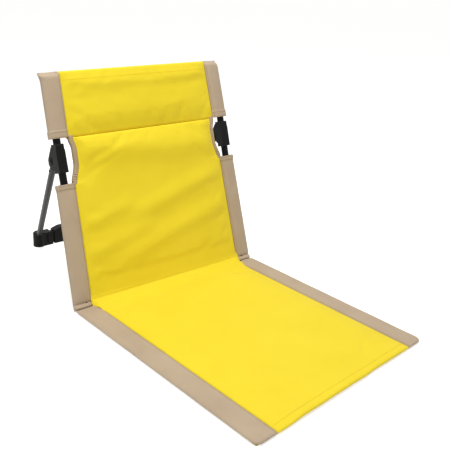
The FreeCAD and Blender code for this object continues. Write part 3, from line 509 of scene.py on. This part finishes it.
def makeBackPanel():
    look = backPanelLook
    loops = []
    for along in spots(look["low"], chair["seam"] - chair["joinGap"], look["step"]):
        reach = panelReach(along)
        turn = min(endTurn(along - look["low"]), endTurn(chair["seam"] - along))
        xs = [reach * (2 * i / look["columns"] - 1) for i in range(look["columns"] + 1)]
        fronts = [backFront(x, along) for x in xs]
        tuck = look["footTuck"] * (1 - smoothStep(look["low"], look["tuckTop"], along))
        rears = [look["edgeRear"] + look["rearCrown"] * (1 - (x / reach) ** 4) - tuck for x in xs]
        loops.append(padLoop(along, xs, fronts, rears, max(turn, look["endShare"])))
    piece = loftPiece("backPanelCloth", loops, yellowCloth)

    def held(point):
        # The rear side stays flat against the lining
        if behindBack(point) > 0:
            return 1
        along = alongBack(point)
        reach = panelReach(along)
        side = smoothStep(reach - look["sewnWidth"], reach - chair["seamAllowance"],
                          abs(point.x * 1000))
        foot = 1 - smoothStep(look["sewnFoot"], look["freeFoot"], along)
        return max(side, foot, smoothStep(chair["seam"] - look["sewnTop"], chair["seam"], along))

    puff(piece, held, look["pressure"], look["cap"], look["slack"])
    soften(piece)
    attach(piece, "back_frame")
    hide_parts("back_panel")
    return piece


def alongBack(point):
    y, z = point.y * 1000 - creaseY - chair["setback"], point.z * 1000
    return y * leanSin + z * leanCos


def behindBack(point):
    y, z = point.y * 1000 - creaseY - chair["setback"], point.z * 1000
    return y * leanCos - z * leanSin


# Header: a padded band above the seam, rolled over at its top edge
headerLook = dict(
    edgeFront=4.4, edgeRear=1.8, crown=3.6, rearCrown=1.4, columns=84, step=4.6, endShare=0.12,
    topRadius=5.5, seamFront=2.2, swellEnd=349, rollAt=426, rollHeight=2.6, rollWidth=12,
    flatShare=0.86, sway=0.6, swaySize=26,
    sewnWidth=12, sewnSeam=8, sewnTop=6, pressure=2.0, cap=2.5, slack=0.002,
    ridges=[((-150, 392), (-60, 398), 12, -1.0), ((60, 366), (150, 376), 14, 0.9),
            ((-165, 352), (-100, 358), 10, 0.9), ((40, 404), (160, 409), 9, -1.0)],
)


def makeHeader():
    look = headerLook
    low, high = chair["seam"] + chair["joinGap"], chair["backLength"]
    loops = []
    for along in spots(low, high, look["step"]):
        reach = seamX(along) - chair["sideGap"]
        turn = min(endTurn(along - low), endTurn(high - along, look["topRadius"]))
        swell = smoothStep(low - 2, look["swellEnd"], along)
        xs = [reach * (2 * i / look["columns"] - 1) for i in range(look["columns"] + 1)]
        fronts, rears = [], []
        for x in xs:
            share = abs(x) / reach
            fade = smoothStep(1.0, look["flatShare"], share)
            full = look["edgeFront"] + look["crown"] * (1 - share ** 4)
            front = look["seamFront"] + (full - look["seamFront"]) * swell
            front += look["rollHeight"] * hump(along, look["rollAt"], look["rollWidth"]) * fade
            front += ridgeHeight(x, along, look["ridges"]) * fade
            front += look["sway"] * unevenness(x, along * 1.5, look["swaySize"], 4) * fade
            fronts.append(front)
            rears.append(look["edgeRear"] + look["rearCrown"] * (1 - share ** 4))
        loops.append(padLoop(along, xs, fronts, rears, max(look["endShare"], turn)))
    piece = loftPiece("headerCloth", loops, yellowCloth)

    def held(point):
        if behindBack(point) > 0:
            return 1
        along = alongBack(point)
        reach = seamX(along)
        side = smoothStep(reach - look["sewnWidth"], reach - chair["seamAllowance"],
                          abs(point.x * 1000))
        seam = 1 - smoothStep(low, low + look["sewnSeam"], along)
        return max(side, seam, smoothStep(high - look["sewnTop"], high - 1, along))

    puff(piece, held, look["pressure"], look["cap"], look["slack"])
    soften(piece)
    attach(piece, "back_frame")
    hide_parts("header_panel")
    return piece


backPanelPiece = makeBackPanel()
headerPiece = makeHeader()
print("back and header panels made")


# Sleeves: tan cloth, flat in front, with the tube's shape behind
sleeveLook = dict(
    count=23, edgeRound=4.8, seamRound=1.4, seamPinch=0.25, sway=0.35, swaySize=17,
    flatFront=8.5, innerFront=5.4, innerWidth=6, outerFront=5.5, outerWidth=7,
    rearAtTube=9.3, rearEdge=1.8, rearWidth=12, rearForward=0.3, leastHalf=0.25,
    hemStep=1.7, lowerHem=10, upperHem=14,
    turnedIn=((0.0, 0.9), (4, 1.2), (12, 1.3)),      # depth inside the mouth, and inset there
    toeEnd=1.5, toeRound=7.5, toeInset=3.5, toeThin=0.35,
    toeRoll=3.0, toeRollAt=6.0, toeRollWidth=3.8, toeGap=2.2, toeGapAt=12.5, toeGapWidth=2.0,
    tubeEnd=439, topRound=4.5, topLean=4.2, topThin=0.45, topInset=0.4,
    pocketCorner={-1: 3.4, 1: -2.8},                 # how far each top corner leans out
    cornerFrom=432, cornerTo=446, cornerRound=2.0,
)


def sleeveLoop(along, side, inset=0.0, thin=1.0, forward=0.0, flare=0.0):
    look = sleeveLook
    outer, inner = halfWidthAt(along) - inset + flare, seamX(along) + inset
    front, rear = [], []
    for i in range(look["count"] + 1):
        t = i / look["count"]
        eased = 0.5 - 0.5 * math.cos(math.pi * t)       # closer together at both edges
        x = inner + (outer - inner) * eased
        edge = endTurn(outer - x, look["edgeRound"])
        seam = endTurn(x - inner, look["seamRound"]) * look["seamPinch"] + 1 - look["seamPinch"]
        near = look["flatFront"]
        near -= (look["flatFront"] - look["innerFront"]) * hump(x, inner, look["innerWidth"])
        near -= (look["flatFront"] - look["outerFront"]) * hump(x, outer, look["outerWidth"])
        near += look["sway"] * unevenness(side * x, along, look["swaySize"], 9) * edge
        far = look["rearEdge"] + (look["rearAtTube"] - look["rearEdge"]) * hump(
            x, chair["tubeX"], look["rearWidth"])
        centre = (far - near) / 2 * edge
        half = max(look["leastHalf"], (far + near) / 2 * edge * seam * thin - inset * 0.9)
        front.append((x, centre - half - forward))
        rear.append((x, centre + half - forward * look["rearForward"]))
    return [onBack(side * x, behind, along) for x, behind in front + rear[::-1]]


def closeOnTube(along, side, count):
    points = []
    for i in range(count):
        angle = math.pi - 2 * math.pi * (i + 0.5) / count
        x = chair["tubeX"] + chair["tubeRadius"] * math.cos(angle)
        points.append(onBack(side * x, -chair["tubeRadius"] * math.sin(angle), along))
    return points


def hemStep(distance, depth):
    # The hem is a second layer, so the sleeve stands out a little over its depth
    return sleeveLook["hemStep"] * smoothStep(depth + 1.0, depth - 1.0, distance)


def turnIn(loops, mouth, side, inward):
    # The mouth's cloth turns in over the hem's depth and closes on the tube
    for depth, inset in sleeveLook["turnedIn"]:
        loops.append(sleeveLoop(mouth + inward * depth, side, inset=inset))
    loops.append(closeOnTube(mouth + inward * (depth + 1), side, len(loops[0])))


def makeLowerSleeve(side, word):
    look = sleeveLook
    mouth = chair["mouth"] + 0.5
    stations = [0.5, 2, 3.5, 5, 6.5, 8, 9.5, 10.5, 11.5, 13, 15, 18, 22, 27]
    stations += [32 + 8 * i for i in range(24)]
    stations += [mouth - d for d in (11.5, 10.5, 9, 6, 3, 1, 0.3)]
    loops = []
    for along in sorted(stations):
        closing = 1 - endTurn(along + look["toeEnd"], look["toeRound"])
        toe = look["toeRoll"] * hump(along, look["toeRollAt"], look["toeRollWidth"])
        toe -= look["toeGap"] * hump(along, look["toeGapAt"], look["toeGapWidth"])
        slant = -hemStep(mouth - along, look["lowerHem"]) * 0.5
        loops.append(sleeveLoop(along, side, inset=look["toeInset"] * closing + slant,
                                thin=1 - look["toeThin"] * closing, forward=toe))
    turnIn(loops, mouth, side, -1)
    for loop in loops:
        for point in loop:
            point.z = max(point.z, chair["leastHeight"] / 1000)
    piece = loftPiece("lowerSleeveCloth_" + word, loops, tanCloth)
    soften(piece)
    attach(piece, "back_frame")
    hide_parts("lower_sleeve_" + word)
    return piece


def makeUpperPocket(side, word):
    look = sleeveLook
    mouth, top = chair["seam"] + 0.8, chair["backLength"]
    stations = [mouth + d for d in (0.3, 1, 3, 6, 9, 12.5, 13.5, 14.5, 16)]
    stations += [348 + 8 * i for i in range(10)]
    stations += [427, 431, 435, 439, 442, 444.5, 446.5, 447.6, 448]
    loops = []
    for along in sorted(stations, reverse=True):
        closing = 1 - endTurn(top - along, look["topRound"])
        above = smoothStep(look["tubeEnd"], top - 1, along)      # flat and bent back there
        corner = look["pocketCorner"][side] * smoothStep(
            look["cornerFrom"], look["cornerTo"], along) - look["cornerRound"] * closing
        slant = -hemStep(along - mouth, look["upperHem"]) * 0.5
        loops.append(sleeveLoop(along, side, inset=slant + look["topInset"] * closing,
                                thin=(1 - look["topThin"] * above) * (1 - 0.6 * closing),
                                forward=-look["topLean"] * above, flare=corner))
    turnIn(loops, mouth, side, 1)
    piece = loftPiece("upperPocketCloth_" + word, loops, tanCloth)
    soften(piece)
    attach(piece, "back_frame")
    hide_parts("upper_pocket_" + word)
    return piece


sleevePieces = []
for side, word in ((-1, "left"), (1, "right")):
    sleevePieces.append(makeLowerSleeve(side, word))
    sleevePieces.append(makeUpperPocket(side, word))
print("sleeves and pockets made")


# Edge tape round the side cut-outs: folded over the panel's raw edge, ribbed across
tapeLook = dict(
    width=10.5, front=4.1, rear=3.0, middle=-0.6, squareness=0.7, around=20, count=140,
    ribPitch=3.1, ribHeight=0.3, gather=1.5, gatherAt=12, gatherWidth=8, overrun=4.0,
    mouthTurn=3.5, turnFrom=19, turnTo=3,
)


def tapeEdge(along):
    # The free edge, which runs out under the sleeve mouth
    mouth, look = chair["mouth"], tapeLook
    turned = smoothStep(mouth + look["turnFrom"], mouth + look["turnTo"], along)
    return seamX(along) - cutoutBow(along) + look["mouthTurn"] * turned


def makeTape(side, word):
    look = tapeLook
    low, high = chair["mouth"] - look["overrun"], chair["seam"] + look["overrun"]
    loops = []
    for row in range(look["count"] + 1):
        along = low + (high - low) * row / look["count"]
        rib = look["ribHeight"] * abs(math.sin(math.pi * (along - low) / look["ribPitch"]))
        gather = look["gather"] * math.sin(along * 1.5) * hump(
            along, chair["mouth"] + look["gatherAt"], look["gatherWidth"])
        end = 0.3 + 0.7 * endTurn(min(along - low, high - along) + 0.3, 3)
        loop = []
        for i in range(look["around"]):
            angle = 2 * math.pi * i / look["around"]
            wide, deep = [math.copysign(abs(part) ** look["squareness"], part)
                          for part in (math.cos(angle), math.sin(angle))]
            half = look["width"] / 2 + rib * 0.6
            thick = (look["front"] if deep < 0 else look["rear"]) + rib + gather * 0.6
            x = tapeEdge(along) - look["width"] / 2 + half * wide
            loop.append(onBack(side * x, look["middle"] + thick * deep * end, along))
        loops.append(loop)
    piece = loftPiece("edgeTape_" + word, loops, tanTape)
    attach(piece, "back_frame")
    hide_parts("cutout_binding_" + word)
    return piece


tapePieces = [makeTape(side, word) for side, word in ((-1, "left"), (1, "right"))]


# Back lining: one plain cloth behind both panels, drawn tight between the sleeves
liningLook = dict(
    behind=3.4, clear=0.7, thickness=0.8, sag=0.6, sagSize=46, columns=60, step=6, low=9, top=3,
    underSleeve=2, cutoutTuck=8, headerSwell=0.9, headerMiddle=385, headerWidth=40,
    footTuck=6.0, tuckTop=40,
)


def makeLining():
    look = liningLook
    loops = []
    for along in spots(look["low"], chair["backLength"] - look["top"], look["step"], False):
        reach = seamX(along) + look["underSleeve"] - cutoutBow(along)
        reach -= look["cutoutTuck"] * insideCutout(along)
        header = look["headerSwell"] * hump(along, look["headerMiddle"], look["headerWidth"])
        tuck = look["footTuck"] * (1 - smoothStep(look["low"], look["tuckTop"], along))
        rows = {1: [], -1: []}
        for i in range(look["columns"] + 1):
            x = reach * (2 * i / look["columns"] - 1)
            share = abs(x) / reach
            loose = look["clear"] + look["sag"] * unevenness(x, along * 0.6, look["sagSize"], 2)
            behind = look["behind"] + (1 - share ** 6) * loose + header * (1 - share ** 2) - tuck
            rows[1].append((x, behind))
            rows[-1].append((x, behind + look["thickness"]))
        loops.append([onBack(x, behind, along) for x, behind in rows[1] + rows[-1][::-1]])
    piece = loftPiece("backLiningCloth", loops, liningCloth)
    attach(piece, "back_frame")
    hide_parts("back_lining")
    return piece


liningPiece = makeLining()
print("tape and lining made")


# Seat mat: a thin padded panel with flat tan borders and a rolled front edge
matLook = dict(
    rearTop=7.6, edgeTop=6.8, crown=2.4, base=1.1, columns=76, step=6, endShare=0.12, hem=14,
    frontRadius=5, endEase=60, flatShare=0.97, sway=0.35, swaySize=34, rearWiden=7, rearEase=22,
    wave=1.5, waveLength=46, waveReach=40, lift=2.2, liftLength=60, liftBase=0.6, liftReach=45,
    sewnWidth=10, sewnRear=20, freeRear=50, freeFront=60, sewnFront=30,
    pressure=2.0, cap=3, slack=0.003,
    ridges=[((-182, 34), (-150, 26), 5, 1.3), ((-178, 17), (-135, 12), 4.5, 1.1),
            ((176, 26), (130, 14), 6, 0.9), ((-120, 60), (20, 40), 16, 0.8),
            ((40, 300), (150, 270), 22, 0.7), ((-140, 200), (-40, 230), 24, 0.7)],
)
borderLook = dict(
    columns=18, step=7, crown=0.9, cornerRadius=13, rearRadius=2, frontRadius=4.5, edgeRound=4.6,
    seamRound=2.2, seamPinch=0.14, edgeSway=0.6, edgeSwaySize=60, sway=0.3, swaySize=24,
)


def edgeWave(x):
    # The soft front edge wanders a little
    return matLook["wave"] * noise.noise(Vector((x / matLook["waveLength"], 3.7, 0)))


def matTop(x, forward):
    look = matLook
    share = min(1, abs(x) / panelEdge(forward))
    length = chair["seatLength"]
    crown = look["crown"] * (1 - share ** 6) * smoothStep(0, look["endEase"], forward)
    crown *= 1 - 0.5 * smoothStep(length - look["endEase"], length, forward)
    fade = smoothStep(1.0, look["flatShare"], share)
    top = look["edgeTop"] + (look["rearTop"] - look["edgeTop"]) * (1 - share ** 8) + crown
    top += ridgeHeight(x, forward, look["ridges"]) * fade
    top += look["sway"] * unevenness(x, forward, look["swaySize"], 6) * fade * smoothStep(
        10, 40, forward)
    return top


def frontLift(x, forward):
    # The front edge rises and falls where the foam stops short of the hem
    look, length = matLook, chair["seatLength"]
    wander = noise.noise(Vector((x / look["liftLength"], 1.3, 5.2)))
    return max(0, look["lift"] * wander + look["liftBase"]) * smoothStep(
        length - look["liftReach"], length, forward)


def waved(x, forward):
    # How far forward a point lies once the front edge wanders
    length = chair["seatLength"]
    return forward + edgeWave(x) * smoothStep(length - matLook["waveReach"], length, forward)


def panelEdge(forward):
    inner = chair["halfWidth"] - chair["borderWidth"]
    return inner + matLook["rearWiden"] * hump(forward, 0, matLook["rearEase"])


def matLoop(stations):
    # A closed loop round the mat: across its top side, then back across its underside
    top = [onMat(x, forward, centre + half) for x, forward, centre, half in stations]
    under = [onMat(x, forward, centre - half) for x, forward, centre, half in stations]
    return top + under[::-1]


def makeSeatPanel():
    look = matLook
    length = chair["seatLength"]
    loops = []
    for forward in spots(0.3, length, look["step"]):
        turn = min(endTurn(forward - 0.3), endTurn(length - forward, look["frontRadius"]))
        turn = max(look["endShare"], turn)
        reach = panelEdge(forward) - chair["joinGap"]
        row = []
        for i in range(look["columns"] + 1):
            x = reach * (2 * i / look["columns"] - 1)
            top, base = matTop(x, forward), look["base"]
            centre, half = (top + base) / 2 + frontLift(x, forward), (top - base) / 2 * turn
            row.append((x, waved(x, forward), max(centre, half + 0.4), half))
        loops.append(matLoop(row))
    piece = loftPiece("seatPanelCloth", loops, yellowCloth)

    def held(point):
        forward = creaseY - point.y * 1000
        reach = panelEdge(forward)
        side = smoothStep(reach - look["sewnWidth"], reach - chair["seamAllowance"],
                          abs(point.x * 1000))
        below = 1.0 if point.z * 1000 < 3 else 0.0
        return max(side, below, 1 - smoothStep(look["sewnRear"], look["freeRear"], forward),
                   smoothStep(length - look["freeFront"], length - look["sewnFront"], forward))

    puff(piece, held, look["pressure"], look["cap"], look["slack"])
    soften(piece)
    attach(piece, "seat_mat")
    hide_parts("seat_panel", "seat_foam", "front_hem")
    return piece


def makeSeatBorder(side, word):
    look = borderLook
    length, base = chair["seatLength"], matLook["base"]
    inner = chair["halfWidth"] - chair["borderWidth"] + chair["joinGap"]
    corner = look["cornerRadius"]
    loops = []
    stations = set(spots(0.4, length, look["step"]) + [length - d for d in (5, 6.5, 8, 10, 13)])
    for forward in sorted(stations):
        turn = max(matLook["endShare"], min(endTurn(forward - 0.4, look["rearRadius"]),
                                            endTurn(length - forward, look["frontRadius"])))
        outer = chair["halfWidth"] - corner * (1 - endTurn(length - forward, corner))
        outer += look["edgeSway"] * unevenness(side * 10, forward, look["edgeSwaySize"], 8)
        row = []
        for i in range(look["columns"] + 1):
            eased = 0.5 - 0.5 * math.cos(math.pi * i / look["columns"])
            x = inner + (outer - inner) * eased
            edge = max(0.1, endTurn(outer - x, look["edgeRound"]))
            seam = 1 - look["seamPinch"] * (1 - endTurn(x - inner, look["seamRound"]))
            top = (matLook["edgeTop"] + look["crown"] * math.sin(math.pi * eased)) * seam
            top += look["sway"] * unevenness(side * x, forward, look["swaySize"], 3)
            centre, half = (top + base) / 2, (top - base) / 2 * turn * edge
            centre += frontLift(side * min(x, 205), forward) * 0.8
            row.append((side * x, waved(side * inner, forward), centre, half))
        loops.append(matLoop(row))
    piece = loftPiece("seatBorderCloth_" + word, loops, tanCloth)
    soften(piece)
    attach(piece, "seat_mat")
    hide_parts("seat_border_" + word)
    return piece


undersideLook = dict(sideInset=3, rearInset=0.5, frontInset=5, step=12, columns=40, top=0.9,
                     bottom=0.1, liftShare=0.8)


def makeUnderside():
    look = undersideLook
    loops = []
    half = chair["halfWidth"] - look["sideInset"]
    xs = [half * (2 * i / look["columns"] - 1) for i in range(look["columns"] + 1)]
    for forward in spots(look["rearInset"], chair["seatLength"] - look["frontInset"],
                         look["step"], False):
        loops.append([onMat(x, forward, z + frontLift(x, forward) * look["liftShare"])
                      for z, across in ((look["top"], xs), (look["bottom"], xs[::-1]))
                      for x in across])
    piece = loftPiece("undersideCloth", loops, liningCloth)
    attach(piece, "seat_mat")
    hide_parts("seat_underside")
    return piece


seatPiece = makeSeatPanel()
seatBorderPieces = [makeSeatBorder(side, word) for side, word in ((-1, "left"), (1, "right"))]
undersidePiece = makeUnderside()
print("seat mat made")


# Crease: the cloth that joins the back and the mat, tucked under both at its ends
creaseLook = dict(
    matReach=24, matEnd=1.2, matEase=8, foldAt=13.5, backReach=24, backEase=5, columns=70,
    proud=0.35, tuck=0.9, thickness=0.7, rise=5.5, riseWidth=13, underSleeve=3.0,
    endShare=0.965, endHeight=2.0, endWidth=8,
)


def makeCrease():
    look = creaseLook
    path = []
    for i in range(9):
        path.append(("mat", look["matReach"] * (1 - i / 8) + look["matEnd"] * (i / 8)))
    for i in range(10):
        path.append(("back", look["foldAt"] + (look["backReach"] - look["foldAt"]) * i / 9))
    loops = []
    for kind, value in path:
        rows = {1: [], -1: []}
        for i in range(look["columns"] + 1):
            share = 2 * i / look["columns"] - 1
            if kind == "mat":
                x = (panelEdge(value) - 1.2 + look["underSleeve"] * hump(value, 0, 6)) * share
                ends = smoothStep(look["matReach"], look["matReach"] - look["matEase"], value)
                z = matTop(x, value) + look["proud"] * ends - look["tuck"] * (1 - ends)
                z += look["rise"] * hump(value, 0, look["riseWidth"])
                # Both ends run down between the mat and the sleeve's foot
                down = smoothStep(look["endShare"], 1.0, abs(share)) * hump(
                    value, 0, look["endWidth"])
                z += (look["endHeight"] - z) * down
                rows[1].append(onMat(x, value, z))
                rows[-1].append(onMat(x, value + 0.1, z - look["thickness"]))
            else:
                x = (panelReach(value) + look["underSleeve"]) * share
                ends = smoothStep(look["backReach"], look["backReach"] - look["backEase"], value)
                front = backFront(x, value) + look["proud"] * ends - look["tuck"] * (1 - ends)
                rows[1].append(onBack(x, -front, value))
                rows[-1].append(onBack(x, -front + look["thickness"], value + 0.1))
        loops.append(rows[1] + rows[-1][::-1])
    piece = loftPiece("creaseCloth", loops, yellowCloth)
    soften(piece)
    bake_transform(piece)
    return piece


creasePiece = makeCrease()


# Stitching: rows laid on the cloth, one modifier tree for all of them
stitchLook = dict(
    pitch=3.6, length=2.7, thickness=0.9, lift=0.15, fromSeam=2.8, fromHeaderSeam=4.5,
    fromTop=17, lowerHem=(2.6, 8.6), upperHem=(3.4, 12.4), fromTapeEdge=8.4, hemReach=176,
    fromCrease=30, castFrom=40,
)


def stitchTree(material):
    tree = bpy.data.node_groups.new("stitches_" + material.name, "GeometryNodeTree")
    tree.interface.new_socket("Geometry", in_out="INPUT", socket_type="NodeSocketGeometry")
    for name in ("Pitch", "Stitch length", "Thread thickness"):
        tree.interface.new_socket(name, in_out="INPUT", socket_type="NodeSocketFloat")
    tree.interface.new_socket("Geometry", in_out="OUTPUT", socket_type="NodeSocketGeometry")
    given = addNode(tree, "NodeGroupInput").outputs
    curve = addNode(tree, "GeometryNodeMeshToCurve", {"Mesh": given["Geometry"]})
    points = addNode(tree, "GeometryNodeCurveToPoints", {"Curve": curve.outputs[0],
                     "Length": given["Pitch"]}, mode="LENGTH")
    radius = addNode(tree, "ShaderNodeMath", {0: given["Thread thickness"], 1: 0.5},
                     operation="MULTIPLY")
    stitch = addNode(tree, "GeometryNodeMeshUVSphere", {"Segments": 6, "Rings": 4, "Radius": 1.0})
    long = addNode(tree, "ShaderNodeMath", {0: given["Stitch length"], 1: 0.5},
                   operation="MULTIPLY")
    size = addNode(tree, "ShaderNodeCombineXYZ", {"X": radius.outputs[0], "Y": radius.outputs[0],
                   "Z": long.outputs[0]})
    row = addNode(tree, "GeometryNodeInstanceOnPoints", {"Points": points.outputs["Points"],
                  "Instance": stitch.outputs["Mesh"], "Rotation": points.outputs["Rotation"],
                  "Scale": size.outputs[0]})
    real = addNode(tree, "GeometryNodeRealizeInstances", {0: row.outputs[0]})
    painted = addNode(tree, "GeometryNodeSetMaterial", {"Geometry": real.outputs[0],
                      "Material": material})
    addNode(tree, "NodeGroupOutput", {0: painted.outputs[0]})
    return tree


def surfaceUnder(pieces):
    build = bmesh.new()
    for piece in pieces:
        build.from_mesh(piece.data)
    tree = BVHTree.FromBMesh(build)
    build.free()
    return tree


def laidOn(surface, start, heading):
    hit, normal, index, distance = surface.ray_cast(start, heading)
    if hit is None:
        return None
    return hit - heading * (stitchLook["lift"] / 1000)


def makeStitches(name, rows, material, body):
    points, edges = [], []
    for row in rows:
        first = None
        for point in row:
            if point is None:
                first = None
                continue
            points.append(point)
            if first is not None:
                edges.append((first, len(points) - 1))
            first = len(points) - 1
    mesh = bpy.data.meshes.new(name + "_rows")
    mesh.from_pydata([tuple(p) for p in points], edges, [])
    holder = bpy.data.objects.new(name, mesh)
    bpy.context.scene.collection.objects.link(holder)
    modifier = holder.modifiers.new("stitches", "NODES")
    modifier.node_group = stitchTree(material)
    sizes = {"Pitch": "pitch", "Stitch length": "length", "Thread thickness": "thickness"}
    for item in modifier.node_group.interface.items_tree:
        if item.item_type == "SOCKET" and item.name in sizes:
            modifier[item.identifier] = stitchLook[sizes[item.name]] / 1000
    finished = bpy.data.meshes.new_from_object(
        holder.evaluated_get(bpy.context.evaluated_depsgraph_get()))
    holder.modifiers.clear()
    holder.data = finished
    for polygon in finished.polygons:
        polygon.use_smooth = True
    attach(holder, body)
    return holder


def backRow(surface, ends, count, fromRear=False):
    # A row across or along the back, laid from in front or from behind
    (x1, a1), (x2, a2) = ends
    return backCurve(surface, [(x1 + (x2 - x1) * i / count, a1 + (a2 - a1) * i / count)
                               for i in range(count + 1)], fromRear)


def backCurve(surface, places, fromRear=False):
    side = 1 if fromRear else -1
    heading = Vector((0, leanCos, -leanSin)) * -side
    return [laidOn(surface, onBack(x, side * stitchLook["castFrom"], along), heading)
            for x, along in places]


def matRow(surface, ends, count):
    (x1, f1), (x2, f2) = ends
    return [laidOn(surface, onMat(x1 + (x2 - x1) * i / count, f1 + (f2 - f1) * i / count,
                                  stitchLook["castFrom"]), Vector((0, 0, -1)))
            for i in range(count + 1)]


def sleeveRows(tan, tape, side):
    look = stitchLook
    top, seam, mouth = chair["backLength"], chair["seam"], chair["mouth"]
    rows = []
    for a1, a2 in ((14, mouth - 1), (seam + 2, top - 6)):
        ends = [(side * (seamX(a) + look["fromSeam"]), a) for a in (a1, a2)]
        rows.append(backRow(tan, ends, 70))
    for at in [mouth - d for d in look["lowerHem"]] + [seam + d for d in look["upperHem"]]:
        ends = ((side * (seamX(at) + 1.5), at), (side * (halfWidthAt(at) - 4), at))
        rows += [backRow(tan, ends, 30, rear) for rear in (False, True)]
    low, high = mouth + 3, seam - 3
    curve = [low + (high - low) * i / 60 for i in range(61)]
    places = [(side * (tapeEdge(a) - look["fromTapeEdge"]), a) for a in curve]
    return rows + [backCurve(tape, places, rear) for rear in (False, True)]


def stitchEverything():
    look = stitchLook
    yellow = surfaceUnder([backPanelPiece, headerPiece])
    tan, tape = surfaceUnder(sleevePieces), surfaceUnder(tapePieces)
    mat, borders = surfaceUnder([seatPiece]), surfaceUnder(seatBorderPieces)
    rows = []
    for at, nearby in ((chair["seam"] + look["fromHeaderSeam"], chair["seam"] + 4),
                       (chair["backLength"] - look["fromTop"], chair["backLength"])):
        reach = seamX(nearby) - 4
        rows.append(backRow(yellow, ((-reach, at), (reach, at)), 120))
    makeStitches("panelStitches", rows, yellowThread, "back_frame")
    rows = sleeveRows(tan, tape, -1) + sleeveRows(tan, tape, 1)
    makeStitches("sleeveStitches", rows, tanThread, "back_frame")
    length = chair["seatLength"]
    hem, reach = length - matLook["hem"], look["hemReach"]
    rows = [matRow(mat, ((-reach, hem), (reach, hem)), 110)]
    makeStitches("hemStitches", rows, yellowThread, "seat_mat")
    at = chair["halfWidth"] - chair["borderWidth"] + look["fromSeam"]
    rows = [matRow(borders, ((side * at, look["fromCrease"]), (side * at, length - 3)), 120)
            for side in (-1, 1)]
    makeStitches("borderStitches", rows, tanThread, "seat_mat")


stitchEverything()
print("stitching laid")


# Rigid pieces keep their solids and get their finish
finishes = [
    (blackTube, ("side_tube",)),
    (greyTube, ("rear_leg_tube",)),
    (blackNylon, ("hub", "corner_foot", "lower_tube_cap", "upper_tube_cap", "rear_cross_bar",
                  "cross_bar_grip")),
    (greyNylon, ("leg_fitting",)),
    (blackSteel, ("pivot_rivet", "leg_rivet", "foot_rivet")),
]
for material, names in finishes:
    for name, node in nodes.items():
        if name.startswith(names):
            node.data.materials.clear()
            node.data.materials.append(material)
print("finishes set")
